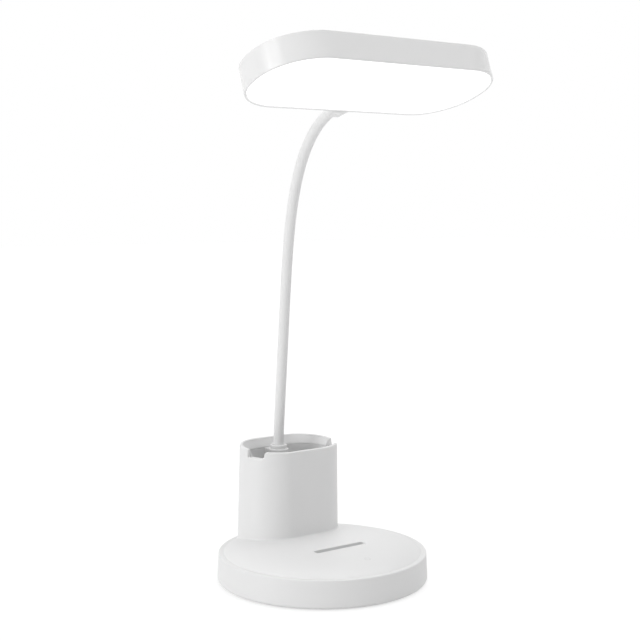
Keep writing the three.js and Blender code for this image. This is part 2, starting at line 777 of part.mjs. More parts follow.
function headShell() {
  const outerLevels = [
    ...arc(headLipRound, headBottom + headLipRound, headLipRound, -quarterTurn, -halfTurn, 1),
    ...arc(headTopRound, headTop - headTopRound, headTopRound, halfTurn, quarterTurn, 3),
  ].map((point) => ({ inset: point.x, z: point.y }));
  const outer = roundedStack(headHalfLength, headHalfDepth, headCorner, headCornerSteps, outerLevels);
  const recessTop = diffuserTop + fitGap;
  const recess = roundedBlock(headHalfLength - diffuserRim, headHalfDepth - diffuserRim,
    headCorner - diffuserRim, headCornerSteps, headBottom - overrun, recessTop);
  const cavity = roundedBlock(headHalfLength - headWall, headHalfDepth - headWall,
    headCorner - headWall, headCornerSteps, headBottom - overrun, ceiling);
  const posts = panelPosts.map(([x, y]) =>
    disc(panelPostRadius, panelTop, ceiling + headTopWall / 2, screwSides)
      .translate([x, y - headCentreY, 0]));
  const bores = panelPosts.map(([x, y]) =>
    disc(smallBoreRadius, panelTop - overrun, ceiling, screwSides).translate([x, y - headCentreY, 0]));
  const slot = solidOf(new THREE.BoxGeometry((tongueHalfWidth + fitGap) * 2, headWall * 3,
    tongueTop - tongueBottom + fitGap * 2))
    .translate([0, headHalfDepth, (tongueTop + tongueBottom) / 2]);
  const tongueBoss = tongueScrews.map(([x, y]) =>
    disc(panelPostRadius, tongueTop, ceiling + headTopWall / 2, screwSides)
      .translate([x, y - headCentreY, 0]));
  const tongueBores = tongueScrews.map(([x, y]) =>
    disc(smallBoreRadius, tongueTop - overrun, tongueTop + smallScrewLength, screwSides)
      .translate([x, y - headCentreY, 0]));
  return outer
    .subtract(union([recess, cavity, slot]))
    .add(union([...posts, ...tongueBoss]))
    .subtract(union([...bores, ...tongueBores]))
    .translate([0, headCentreY, 0]);
}

function diffuser() {
  const inset = diffuserRim + fitGap;
  return roundedBlock(headHalfLength - inset, headHalfDepth - inset, headCorner - inset,
    headCornerSteps, diffuserBottom, diffuserTop).translate([0, headCentreY, 0]);
}

// Light panel: the board with its rows of light chips on the underside
function lightPanel() {
  const board = roundedBlock(panelHalfLength, panelHalfDepth, panelCorner, 4, panelBottom, panelTop);
  const chips = [];
  for (let column = 0; column < panelColumns; column += 1) {
    for (let row = 0; row < panelRows; row += 1) {
      const x = (column - (panelColumns - 1) / 2) * chipPitchX;
      const y = (row - (panelRows - 1) / 2) * chipPitchY;
      chips.push(solidOf(new THREE.BoxGeometry(chipSize, chipSize, chipHeight * 2))
        .translate([x, y, panelBottom]));
    }
  }
  const holes = panelPosts.map(([x, y]) =>
    disc(smallBoreRadius, panelBottom - overrun, panelTop + overrun, screwSides)
      .translate([x, y - headCentreY, 0]));
  const notch = solidOf(new THREE.BoxGeometry((panelPostRadius + tongueScrewX + fitGap) * 2,
    tongueLength * 2, panelThickness * 4))
    .translate([0, headHalfDepth, panelBottom]);
  return board.add(union(chips)).subtract(union([...holes, notch])).translate([0, headCentreY, 0]);
}

function connectorRing(y, halfWidth, bottom, top, round) {
  const middle = (bottom + top) / 2;
  return roundedOutline(halfWidth, (top - bottom) / 2, round, 3)
    .map((point) => new THREE.Vector3(point.x, y, middle + point.y));
}

function headConnector() {
  const face = -connectorLength + fitGap;
  const wide = connectorHalfWidth + connectorFlare;
  const edge = connectorRound / 3;
  const block = loft([
    connectorRing(0, connectorHalfWidth - edge, headBottom + edge, connectorTop - edge, connectorRound),
    connectorRing(-edge, connectorHalfWidth, headBottom, connectorTop, connectorRound),
    connectorRing(face, wide, headBottom, connectorFlareTop, connectorRound),
  ]);
  const tongue = loft([
    connectorRing(face + edge, tongueHalfWidth, tongueBottom, tongueTop, edge),
    connectorRing(tongueEndY, tongueHalfWidth, tongueBottom, tongueTop, edge),
  ]);
  const bore = disc(tipRadius + tipClearance, -tipLength - tipClearance, overrun, ferruleSides)
    .rotate([-90, 0, 0]);
  const boresDown = tongueScrews.map(([x, y]) =>
    disc(smallBoreRadius, tongueBottom - overrun, tongueTop + overrun, screwSides).translate([x, y, 0]));
  return block.add(tongue).subtract(union([bore, ...boresDown]));
}

// The neck's end pin, crimped to the last of the core and held in the connector
function neckTipPin() {
  return disc(tipRadius, -tipLength, 0, ferruleSides).rotate([-90, 0, 0]);
}

const smallScrew = (length) => screw(smallHeadRadius, smallHeadHeight, smallShankRadius,
  smallHeadHeight + length);

function headGroup() {
  const group = new THREE.Group();
  group.add(meshOf('head_shell', headShell(), glossWhite));
  group.add(meshOf('diffuser', diffuser(), glowWhite));
  group.add(meshOf('light_panel', lightPanel(), panelWhite));
  group.add(meshOf('head_connector', headConnector(), glossWhite));
  group.add(meshOf('neck_tip_pin', neckTipPin(), steel));
  panelPosts.forEach(([x, y], k) => {
    const part = meshOf(`panel_screw_${k + 1}`, smallScrew(smallScrewLength), steel);
    part.position.set(x, y, panelBottom - smallHeadHeight - fitGap);
    group.add(part);
  });
  tongueScrews.forEach(([x, y], k) => {
    const part = meshOf(`connector_screw_${k + 1}`, smallScrew(tongueThickness + smallScrewLength), steel);
    part.position.set(x, y, tongueBottom - smallHeadHeight - fitGap);
    group.add(part);
  });
  group.position.copy(neckPoint(neckLength));
  group.rotation.x = -headTilt;
  return group;
}

const lamp = new THREE.Group();
lamp.add(meshOf('anti_slip_pad', antiSlipPad(), padGrey));
lamp.add(meshOf('bottom_cover', bottomCover(), satinWhite));
lamp.add(meshOf('base_housing', baseHousing(), satinWhite));
lamp.add(meshOf('counterweight', counterweight(), steel));
lamp.add(meshOf('battery', battery(), cellGrey));
lamp.add(meshOf('control_board', controlBoard(), boardGreen));
lamp.add(meshOf('touch_spring', touchSpring(), copper));
lamp.add(meshOf('touch_pad', touchPad(), copper));
lamp.add(meshOf('charge_board', chargeBoard(), boardGreen));
lamp.add(meshOf('charge_socket', chargeSocket(), steel));
lamp.add(meshOf('cup_liner', cupLiner(), satinWhite));
lamp.add(meshOf('neck_collar', neckCollar(), softWhite));
lamp.add(meshOf('neck_ferrule', tube(ferruleRadius, ferruleBoreRadius, ferruleBottomHeight, ferruleTop), steel));
lamp.add(meshOf('neck_washer', tube(washerRadius, ferruleRadius + fitGap,
  floorUnderside - washerThickness, floorUnderside), steel));
lamp.add(meshOf('neck_nut', neckNut(), steel));
postPlaces.forEach(([x, y], k) => {
  const part = meshOf(`base_screw_${k + 1}`,
    screw(screwHeadRadius, screwHeadHeight, screwShankRadius, screwLength), steel);
  part.position.set(x, y, coverBottom);
  lamp.add(part);
});
lamp.add(...neckLinks());
lamp.add(headGroup());

export default lamp;
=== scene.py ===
# Desk lamp with a pen cup: its looks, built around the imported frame.
# Lengths in the dictionaries are millimetres; every mesh is made in metres.
import math
import bmesh
import bpy
from mathutils import Matrix, Vector


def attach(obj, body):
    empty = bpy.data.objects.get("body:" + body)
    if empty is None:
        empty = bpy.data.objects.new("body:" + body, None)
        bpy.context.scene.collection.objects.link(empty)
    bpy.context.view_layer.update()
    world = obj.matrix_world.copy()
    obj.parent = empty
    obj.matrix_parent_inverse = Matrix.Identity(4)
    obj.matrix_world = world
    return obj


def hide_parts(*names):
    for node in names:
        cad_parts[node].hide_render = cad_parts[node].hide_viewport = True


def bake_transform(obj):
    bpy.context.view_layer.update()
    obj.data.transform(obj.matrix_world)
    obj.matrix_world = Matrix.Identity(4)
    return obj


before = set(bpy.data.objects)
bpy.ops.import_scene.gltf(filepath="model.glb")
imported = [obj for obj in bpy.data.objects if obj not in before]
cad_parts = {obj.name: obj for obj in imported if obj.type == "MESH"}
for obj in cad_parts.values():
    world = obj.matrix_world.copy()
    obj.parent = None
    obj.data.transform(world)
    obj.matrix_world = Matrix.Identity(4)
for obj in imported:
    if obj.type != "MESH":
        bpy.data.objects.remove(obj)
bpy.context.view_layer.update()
scene = bpy.context.scene
mm = 0.001
quarterTurn = math.pi / 2
print("frame loaded with", len(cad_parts), "nodes")

# Nodes, for materials and for Geometry Nodes


def feed(tree, node, inputs):
    # Sets a node's inputs to values, or joins them to other nodes' outputs
    for name, value in inputs.items():
        if isinstance(value, bpy.types.NodeSocket):
            tree.links.new(value, node.inputs[name])
        else:
            node.inputs[name].default_value = value


def newNode(tree, kind, inputs=None, **settings):
    node = tree.nodes.new(kind)
    for name, value in settings.items():
        setattr(node, name, value)
    feed(tree, node, inputs or {})
    return node.outputs


def mathNode(tree, operation, *values):
    return newNode(tree, "ShaderNodeMath", dict(enumerate(values)), operation=operation)[0]


def newGroup(name, kind, inputs, outputs):
    group = bpy.data.node_groups.new(name, kind)
    for way, sockets in (("INPUT", inputs), ("OUTPUT", outputs)):
        for title, socketKind in sockets.items():
            group.interface.new_socket(title, in_out=way, socket_type="NodeSocket" + socketKind)
    return group, group.nodes.new("NodeGroupInput").outputs, group.nodes.new("NodeGroupOutput")


def newMaterial(name):
    material = bpy.data.materials.new(name)
    material.use_nodes = True
    return material, material.node_tree, material.node_tree.nodes["Principled BSDF"]


# Camera, lamps and studio
cameraSet = {"place": (-446.9, -607.2, 230.0), "turn": -36.24, "pitch": -5.24, "lens": 69.8, "sensor": 36,
             "near": 10}


def direction(turn, height):
    turn, height = math.radians(turn), math.radians(height)
    return Vector((math.cos(turn) * math.cos(height), math.sin(turn) * math.cos(height), math.sin(height)))


def setCamera(values):
    look = direction(90 + values["turn"], values["pitch"])
    camera = bpy.data.objects.new("photoCamera", bpy.data.cameras.new("photoCamera"))
    camera.location = Vector(values["place"]) * mm
    camera.rotation_euler = look.to_track_quat("-Z", "Y").to_euler()
    camera.data.lens = values["lens"]
    camera.data.sensor_width = values["sensor"]
    camera.data.clip_start = values["near"] * mm
    scene.collection.objects.link(camera)
    scene.camera = camera


# Wide soft lamps at a great distance, so the floor is lit evenly. Turn from +X, height and width are degrees.
softLamps = {
    "topPanel": {"turn": 234, "height": 85, "width": 60, "share": 0.227},
    "backPanel": {"turn": 20, "height": 70, "width": 40, "share": 0.180},
    "leftStrip": {"turn": 180, "height": 12, "width": 18, "share": 0.154},
    "leftStripBack": {"turn": 170, "height": 12, "width": 18, "share": 0.091},
    "leftStripEnd": {"turn": 160, "height": 12, "width": 18, "share": 0.035},
    "leftStripTop": {"turn": 180, "height": 28, "width": 18, "share": 0.053},
    "rightCard": {"turn": 310, "height": 50, "width": 50, "share": 0.040},
}
studio = {"fill": 0.466, "floorTone": 0.84, "shadowTone": 0.36, "floorLift": 0.70, "floorSpan": 12000,
          "floorRoughness": 0.9, "white": (1, 1, 1, 1)}


def setSoftLamp(name, values):
    lamp = bpy.data.lights.new(name, "SUN")
    lamp.angle = math.radians(values["width"])
    lamp.energy = values["share"] * math.pi
    holder = bpy.data.objects.new(name, lamp)
    holder.rotation_euler = (-direction(values["turn"], values["height"])).to_track_quat("-Z", "Y").to_euler()
    scene.collection.objects.link(holder)


def whereSeen(tree, unseen, seen):
    # One value for the light that surfaces get, another for what is seen, mirrored or through glass too
    rays = newNode(tree, "ShaderNodeLightPath")
    direct = mathNode(tree, "MAXIMUM", rays["Is Camera Ray"], rays["Is Glossy Ray"])
    either = mathNode(tree, "MAXIMUM", direct, rays["Is Transmission Ray"])
    return newNode(tree, "ShaderNodeMapRange", {"Value": either, "To Min": unseen, "To Max": seen})["Result"]


def setWorld(values):
    world = bpy.data.worlds.new("studioWorld")
    world.use_nodes = True
    tree = world.node_tree
    strength = whereSeen(tree, values["fill"], 1)
    feed(tree, tree.nodes["Background"], {"Color": values["white"], "Strength": strength})
    scene.world = world


def setFloor(values):
    half = values["floorSpan"] / 2 * mm
    mesh = bpy.data.meshes.new("studioFloor")
    corners = [(-half, -half, 0), (half, -half, 0), (half, half, 0), (-half, half, 0)]
    mesh.from_pydata(corners, [], [(0, 1, 2, 3)])
    floor = bpy.data.objects.new("studioFloor", mesh)
    scene.collection.objects.link(floor)
    material, tree, shader = newMaterial("floorPaper")
    feed(tree, shader, {
        "Roughness": values["floorRoughness"], "Specular IOR Level": 0, "Emission Color": values["white"],
        "Base Color": whereSeen(tree, values["floorTone"], values["shadowTone"]),
        "Emission Strength": whereSeen(tree, 0, values["floorLift"]),
    })
    mesh.materials.append(material)


setCamera(cameraSet)
for lampName, lampValues in softLamps.items():
    setSoftLamp(lampName, lampValues)
setWorld(studio)
setFloor(studio)
scene.view_settings.view_transform = "Standard"
print("camera, lamps, floor and world set")

# Materials
textureInputs = {"Vector": "Vector", "Light Tone": "Color", "Deep Tone": "Color", "Gloss Low": "Float",
                 "Gloss High": "Float", "Grain": "Float"}
textureOutputs = {"Color": "Color", "Roughness": "Float", "Height": "Float"}
mould = {"drift": 0.02, "driftDetail": 3, "gloss": 0.09, "glossDetail": 4, "grain": 1, "grainDetail": 2,
         "bump": 0.35}
streaks = {"grain": 1, "detail": 4, "bump": 0.3, "relief": 0.01}


def noise(group, vector, given, factor, detail):
    scale = mathNode(group, "MULTIPLY", given["Grain"], factor)
    return newNode(group, "ShaderNodeTexNoise", {"Vector": vector, "Scale": scale, "Detail": detail})["Fac"]


def spread(group, value, low, high):
    # Spreads the middle half of a noise between two values
    return newNode(group, "ShaderNodeMapRange", {
        "Value": value, "From Min": 0.25, "From Max": 0.75, "To Min": low, "To Max": high})["Result"]


# Moulded plastic: a slow drift in tone and gloss, and the fine texture that the mould leaves
def mouldPattern(group, given):
    drift, gloss, grain = (noise(group, given["Vector"], given, mould[name], mould[name + "Detail"])
                           for name in ("drift", "gloss", "grain"))
    return spread(group, drift, 0, 1), gloss, grain


# Drawn or turned metal: streaks along one axis
def streakPattern(group, given):
    stretched = newNode(group, "ShaderNodeVectorMath", {0: given["Vector"], 1: given["Stretch"]},
                        operation="MULTIPLY")
    streak = noise(group, stretched["Vector"], given, streaks["grain"], streaks["detail"])
    return streak, streak, streak


def buildTexture(name, pattern, ownInputs):
    group, given, result = newGroup(name, "ShaderNodeTree", {**textureInputs, **ownInputs}, textureOutputs)
    tone, gloss, height = pattern(group, given)
    colour = newNode(group, "ShaderNodeMix", {"Factor": tone, 6: given["Light Tone"], 7: given["Deep Tone"]},
                     data_type="RGBA")
    feed(group, result, {"Color": colour[2], "Height": height,
                         "Roughness": spread(group, gloss, given["Gloss Low"], given["Gloss High"])})
    return group


mouldGroup = buildTexture("mouldTexture", mouldPattern, {})
streakGroup = buildTexture("metalStreaks", streakPattern, {"Stretch": "Vector"})


def newFinish(name, group, tones, gloss, grain, bump, relief, fixed, own):
    material, tree, shader = newMaterial(name)
    effect = newNode(tree, "ShaderNodeGroup", {
        "Vector": newNode(tree, "ShaderNodeTexCoord")["Object"], "Light Tone": (*tones[0], 1),
        "Deep Tone": (*tones[1], 1), "Gloss Low": gloss[0], "Gloss High": gloss[1], "Grain": grain, **own,
    }, node_tree=group)
    bumps = newNode(tree, "ShaderNodeBump", {
        "Strength": bump, "Distance": relief * mm, "Height": effect["Height"]})
    feed(tree, shader, {**fixed, "Base Color": effect["Color"], "Roughness": effect["Roughness"],
                        "Normal": bumps["Normal"]})
    return material


def plastic(name, tones, gloss, grain, fixed=None, relief=0.01):
    return newFinish(name, mouldGroup, tones, gloss, grain, mould["bump"], relief, fixed or {}, {})


def greyPlastic(name, light, deep, *rest, **more):
    # Greys are written in 0 to 255 steps, as they look on a screen
    tones = [(((value / 255 + 0.055) / 1.055) ** 2.4,) * 3 for value in (light, deep)]
    return plastic(name, tones, *rest, **more)


def metal(name, tones, gloss, grain, stretch):
    return newFinish(name, streakGroup, tones, gloss, grain, streaks["bump"], streaks["relief"],
                     {"Metallic": 1.0}, {"Stretch": stretch})


whites = {
    "base": greyPlastic("satinBase", 233, 231, (0.40, 0.50), 900),
    "liner": greyPlastic("satinLiner", 231, 228, (0.44, 0.54), 900),
    "head": greyPlastic("glossHead", 242, 240, (0.12, 0.17), 700, relief=0.004),
    "connector": greyPlastic("glossConnector", 240, 238, (0.24, 0.32), 700, relief=0.004),
    "sleeve": greyPlastic("siliconeSleeve", 237, 235, (0.52, 0.66), 1500, {"Specular IOR Level": 0.25}),
    "lightBoard": greyPlastic("whiteMask", 240, 236, (0.4, 0.5), 500),
}
others = {
    "mark": greyPlastic("printedMark", 219, 216, (0.45, 0.55), 900),
    "pad": greyPlastic("rubberPad", 150, 140, (0.75, 0.9), 1800, relief=0.04),
    "cell": greyPlastic("pouchCell", 150, 120, (0.3, 0.42), 160, {"Metallic": 0.6}, 0.1),
    "board": plastic("greenMask", ((0.016, 0.130, 0.055), (0.010, 0.085, 0.036)), (0.3, 0.4), 500),
    "chip": plastic("phosphorChip", ((0.85, 0.62, 0.16), (0.78, 0.52, 0.11)), (0.3, 0.4), 900),
    "steel": metal("drawnSteel", ((0.42, 0.43, 0.45), (0.30, 0.31, 0.33)), (0.28, 0.42), 260, (1, 1, 9)),
    "weight": metal("pressedSteel", ((0.30, 0.31, 0.32), (0.20, 0.21, 0.22)), (0.38, 0.55), 220, (1, 7, 1)),
    "copper": metal("bronzeContact", ((0.62, 0.36, 0.17), (0.50, 0.27, 0.12)), (0.25, 0.4), 300, (1, 1, 6)),
    "gold": metal("goldContact", ((0.80, 0.56, 0.20), (0.70, 0.46, 0.15)), (0.22, 0.32), 300, (6, 1, 1)),
}
glow = greyPlastic("litDiffuser", 246, 244, (0.34, 0.42), 500,
                   {"Emission Color": studio["white"], "Emission Strength": 0.6}, 0.004)
print("materials made:", len(bpy.data.materials))

# Mesh tools
weld = {"doubles": 1e-4, "slivers": 1e-5}


def newPiece(name, mesh):
    piece = bpy.data.objects.new(name, mesh)
    scene.collection.objects.link(piece)
    return piece


def squareUp(mesh):
    # Merges doubles, drops slivers and turns all faces outwards
    shape = bmesh.new()
    shape.from_mesh(mesh)
    bmesh.ops.remove_doubles(shape, verts=shape.verts, dist=weld["doubles"] * mm)
    bmesh.ops.dissolve_degenerate(shape, edges=shape.edges, dist=weld["slivers"] * mm)
    bmesh.ops.recalc_face_normals(shape, faces=shape.faces)
    shape.to_mesh(mesh)
    shape.free()


# A closed skin through rings with as many points each: a pole at each end, or the last joins the first
def skin(rings, poles=True):
    count = len(rings[0])
    points = [Vector(point) for ring in rings for point in ring]
    levels = len(rings) - 1 if poles else len(rings)
    faces = []
    for level in range(levels):
        low, high = level * count, (level + 1) % len(rings) * count
        faces += [(low + k, low + (k + 1) % count, high + (k + 1) % count, high + k) for k in range(count)]
    if poles:
        for start in (0, (len(rings) - 1) * count):
            points.append(sum(points[start:start + count], Vector()) / count)
            faces += [(start + k, start + (k + 1) % count, len(points) - 1) for k in range(count)]
    mesh = bpy.data.meshes.new("skin")
    mesh.from_pydata([point * mm for point in points], [], faces)
    squareUp(mesh)
    return mesh


def onCircle(angle, radius=1, centre=(0, 0)):
    return centre[0] + radius * math.cos(angle), centre[1] + radius * math.sin(angle)


def arcPoints(centre, radius, start, end, steps):
    angles = [start + (end - start) * k / steps for k in range(steps + 1)]
    return [onCircle(math.radians(angle), radius, centre) for angle in angles]


def turnedRings(profile, sides, centre=(0, 0)):
    angles = [math.tau * k / sides for k in range(sides)]
    return [[(*onCircle(angle, radius, centre), z) for angle in angles] for radius, z in profile]


def rods(radius, bottom, top, sides, centres):
    return [skin(turnedRings([(radius, bottom), (radius, top)], sides, centre)) for centre in centres]


# A rounded rectangle as points with their outward directions, from the right side round by the back
def roundedOutline(halfX, halfY, corner, cornerSteps=24, sideSteps=4):
    outline = []
    for quadrant, (signX, signY) in enumerate(((1, 1), (-1, 1), (-1, -1), (1, -1))):
        for k in range(cornerSteps + 1):
            angle = quarterTurn * (quadrant + k / cornerSteps)
            centre = (signX * (halfX - corner), signY * (halfY - corner))
            outline.append((*onCircle(angle, corner, centre), *onCircle(angle)))
        x, y, outX, outY = outline[-1]
        run = 2 * ((halfX, halfY)[quadrant % 2] - corner) / sideSteps
        outline += [(x - outY * run * k, y + outX * run * k, outX, outY) for k in range(1, sideSteps)]
    return outline


def outlineRings(outline, levels, centre=(0, 0)):
    return [[(x + outX * out + centre[0], y + outY * out + centre[1], z) for x, y, outX, outY in outline]
            for out, z in levels]


def block(values, bottom, top, centre, steps, out=0):
    outline = roundedOutline(values["halfLength"], values["halfDepth"], values["corner"], *steps)
    return skin(outlineRings(outline, [(out, bottom), (out, top)], centre))


def settle(piece):
    # Applies what the modifiers make and leaves a plain mesh
    bpy.context.view_layer.update()
    graph = bpy.context.evaluated_depsgraph_get()
    mesh = bpy.data.meshes.new_from_object(piece.evaluated_get(graph))
    piece.modifiers.clear()
    piece.data = mesh
    return piece


def gather(meshes):
    shape = bmesh.new()
    for mesh in meshes:
        shape.from_mesh(mesh)
    whole = bpy.data.meshes.new("whole")
    shape.to_mesh(whole)
    shape.free()
    return whole


def carve(piece, meshes, operation):
    tool = newPiece("tool", gather(meshes))
    step = piece.modifiers.new("carve", "BOOLEAN")
    step.operation = operation
    step.solver = "MANIFOLD"
    step.object = tool
    settle(piece)
    bpy.data.objects.remove(tool)


def newTree(name, inputs):
    return newGroup(name, "GeometryNodeTree", {"Geometry": "Geometry", **inputs, "Finish": "Material"},
                    {"Geometry": "Geometry"})


def endTree(tree, given, result, geometry):
    whole = newNode(tree, "GeometryNodeRealizeInstances", {"Geometry": geometry})
    painted = newNode(tree, "GeometryNodeSetMaterial", {
        "Geometry": whole["Geometry"], "Material": given["Finish"]})
    feed(tree, result, {"Geometry": painted["Geometry"]})
    return tree


def growTree(piece, tree, values):
    # Runs a tree on a piece with its inputs set by name, then keeps the plain mesh
    grow = piece.modifiers.new("grow", "NODES")
    grow.node_group = tree
    for item in tree.interface.items_tree:
        if item.in_out == "INPUT" and item.name in values:
            grow[item.identifier] = values[item.name]
    return settle(piece)


def smoothed(piece, material, sharpAngle=36, weighted=True):
    piece.data.materials.clear()
    piece.data.materials.append(material)
    piece.data.polygons.foreach_set("material_index", [0] * len(piece.data.polygons))
    piece.data.shade_smooth()
    piece.data.set_sharp_from_angle(angle=math.radians(sharpAngle))
    if weighted:
        weigh = piece.modifiers.new("weigh", "WEIGHTED_NORMAL")
        weigh.keep_sharp = True
        settle(piece)
    piece.data.name = piece.name
    return piece


def seat(piece, body, slotName, *nodes):
    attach(piece, body)
    if nodes:
        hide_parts(*nodes)


def clamped(share):
    return max(0.0, min(1.0, share))


def pick(values, names):
    return [values[name] for name in names.split()]


# Base housing: drum, pillow top and pen cup in one moulding
base = {
    "radius": 65, "draft": 0.7, "wallHeight": 17.8, "rimLift": 0.6, "footRound": 2.2, "shoulderRound": 0.9,
    "ledgeWidth": 2.4, "ledgeRise": -0.1, "domeRise": 5.9, "domePower": 5, "flankPower": 0.9, "wall": 2.2,
    "sides": 200, "domeSteps": 44, "underSteps": 20, "coverTop": 3.6,
}
base["topRadius"] = base["radius"] - base["draft"]
base["domeRadius"] = base["topRadius"] - base["shoulderRound"] - base["ledgeWidth"]
base["domeFoot"] = base["wallHeight"] + base["ledgeRise"]
base["innerRadius"] = base["topRadius"] - base["wall"]
base["underFoot"] = base["domeFoot"] - base["wall"]
base["underRadius"] = base["domeRadius"] - base["wall"]


def domeHeight(radius, edge, foot):
    share = min(1.0, radius / edge)
    return foot + base["domeRise"] * (1 - share ** base["domePower"]) ** base["flankPower"]


# Height of the top surface at any place: the dome, the ledge round it, and the shoulder
def topHeight(x, y):
    radius = math.hypot(x, y)
    if radius <= base["domeRadius"]:
        return domeHeight(radius, base["domeRadius"], base["domeFoot"])
    along = min(1.0, (radius - base["domeRadius"]) / base["ledgeWidth"])
    return base["domeFoot"] - base["ledgeRise"] * along


def domePoints(edge, foot, steps):
    radii = [edge * math.cos(quarterTurn * k / (steps + 0.5)) for k in range(steps + 1)]
    return [(radius, domeHeight(radius, edge, foot)) for radius in radii]


def drumMesh():
    foot, shoulder, inner, lift = pick(base, "footRound shoulderRound innerRadius rimLift")
    under = domePoints(base["underRadius"], base["underFoot"], base["underSteps"])[::-1]
    wall = [(inner, base["underFoot"]), (inner, lift)]
    outer = arcPoints((base["radius"] - foot, lift + foot), foot, -90, 0, 8)
    top = arcPoints((base["topRadius"] - shoulder, base["wallHeight"] - shoulder), shoulder, 0, 90, 7)
    dome = domePoints(base["domeRadius"], base["domeFoot"], base["domeSteps"])
    return skin(turnedRings(under + wall + outer + top + dome, base["sides"]))


cup = {
    "halfLength": 33.1, "halfDepth": 22.3, "corner": 21.6, "centreY": 37.7, "rim": 79.1, "draft": 1.05,
    "draftTop": 78.3, "draftFoot": 16, "wall": 2.2, "rimRound": 0.8, "floor": 24, "footFillet": 1.1,
    "notchDepth": 5, "notchBack": -2.2, "notchFront": -13.8, "frontRound": 2.4, "backRound": 0.85,
    "leanFrom": 16, "leanOver": 62, "leanFoot": 0.35, "leanRise": 1.05, "narrowing": 0.0075,
    "slantMiddle": 0.27, "slant": 0.05, "step": 0.95,
    "evenBelow": 68, "evenShares": (1, 0.6, 0.35, 0.15), "innerRows": (25, 45), "outerRows": (50, 34),
    "floorInsets": (12, 1), "footRow": 20, "footSink": 0.03, "rootRise": 0.4, "hollowInset": 1.2,
    "hollowFoot": 8, "hollowTop": 30,
}


def cupLength():
    return 4 * (cup["halfLength"] + cup["halfDepth"] - 2 * cup["corner"]) + math.tau * cup["corner"]


# The cup's outline as a function of the length along it, from the middle of its back round by the left
def cupOutline(along):
    corner = cup["corner"]
    halves = cup["halfLength"] - corner, cup["halfDepth"] - corner
    along %= cupLength()
    x, y = 0, cup["halfDepth"]
    for side in range(5):
        facing = quarterTurn * (side + 1)
        outX, outY = onCircle(facing)
        straight = halves[side % 2] * (1 if side in (0, 4) else 2)
        if along <= straight or side == 4:
            return x - outY * along, y + outX * along, outX, outY
        along -= straight
        centre = (x - outY * straight - outX * corner, y + outX * straight - outY * corner)
        if along <= quarterTurn * corner:
            return *onCircle(facing + along / corner, corner, centre), *onCircle(facing + along / corner)
        along -= quarterTurn * corner
        x, y = onCircle(facing + quarterTurn, corner, centre)


def sideLength(y):
    # Length along the outline to the place on the left front corner that lies at y from the cup's middle
    corner = cup["corner"]
    flatX, flatY = cup["halfLength"] - corner, cup["halfDepth"] - corner
    return flatX + quarterTurn * corner + 2 * flatY + corner * math.asin((-y - flatY) / corner)


def evenRun(start, end, step):
    count = max(1, round((end - start) / step))
    return [start + (end - start) * k / count for k in range(count)]


# The rim's line: length along, height, the direction out of the wall's edge, and an evenly spread length
def rimLine():
    back, front, half = sideLength(cup["notchBack"]), sideLength(cup["notchFront"]), cupLength() / 2
    rim, floor = cup["rim"], cup["rim"] - cup["notchDepth"]
    backRound, frontRound = cup["backRound"], cup["frontRound"]

    def flat(start, end, height):
        return [(along, height, 0, 1) for along in evenRun(start, end, cup["step"])]

    def bend(centre, radius, start, end, sign):
        return [(along, height, sign * (along - centre[0]) / radius, sign * (height - centre[1]) / radius)
                for along, height in arcPoints(centre, radius, start, end, 8)]

    before = flat(0, back - backRound, rim)
    notch = bend((back - backRound, rim - backRound), backRound, 90, 0, 1)
    notch += [(back, rim - backRound - (rim - floor - 2 * backRound) * k / 6, 1, 0) for k in range(1, 6)]
    notch += bend((back + backRound, floor + backRound), backRound, 180, 270, -1)
    notch += flat(back + backRound, front - frontRound, floor)[1:]
    notch += bend((front - frontRound, floor + frontRound), frontRound, 270, 360, -1)
    notch += bend((front + frontRound, rim - frontRound), frontRound, 180, 90, 1)
    after = flat(front + frontRound, half, rim)[1:]
    low, high = notch[0][0], notch[-1][0]
    line = [(*point, point[0]) for point in before]
    line += [(*point, low + (high - low) * k / (len(notch) - 1)) for k, point in enumerate(notch)]
    line += [(*point, point[0]) for point in after]
    other = [(2 * half - along, height, -outU, outZ, 2 * half - even)
             for along, height, outU, outZ, even in line[1:]]
    return line + [(half, rim, 0, 1, half)] + other[::-1]


# The cup leans a little to the front and narrows upwards, and its liner with it
def cupLean(x, y, height):
    share = clamped((height - cup["leanFrom"]) / cup["leanOver"])
    return (x * (1 - cup["narrowing"] * (1 + share)), y - cup["leanFoot"] - cup["leanRise"] * share, height)


def cupPoint(along, height, out, drafted=1.0):
    x, y, outX, outY = cupOutline(along)
    out += drafted * cup["draft"] * clamped((cup["draftTop"] - height) / (cup["draftTop"] - cup["draftFoot"]))
    # Above the notches the rim rises to the back
    aboveNotch = max(0.0, (height - cup["rim"] + cup["notchDepth"]) / cup["notchDepth"])
    rise = (cup["slantMiddle"] + cup["slant"] * (y + outY * out)) * aboveNotch
    return cupLean(x + outX * out, y + outY * out + cup["centreY"], height + rise)


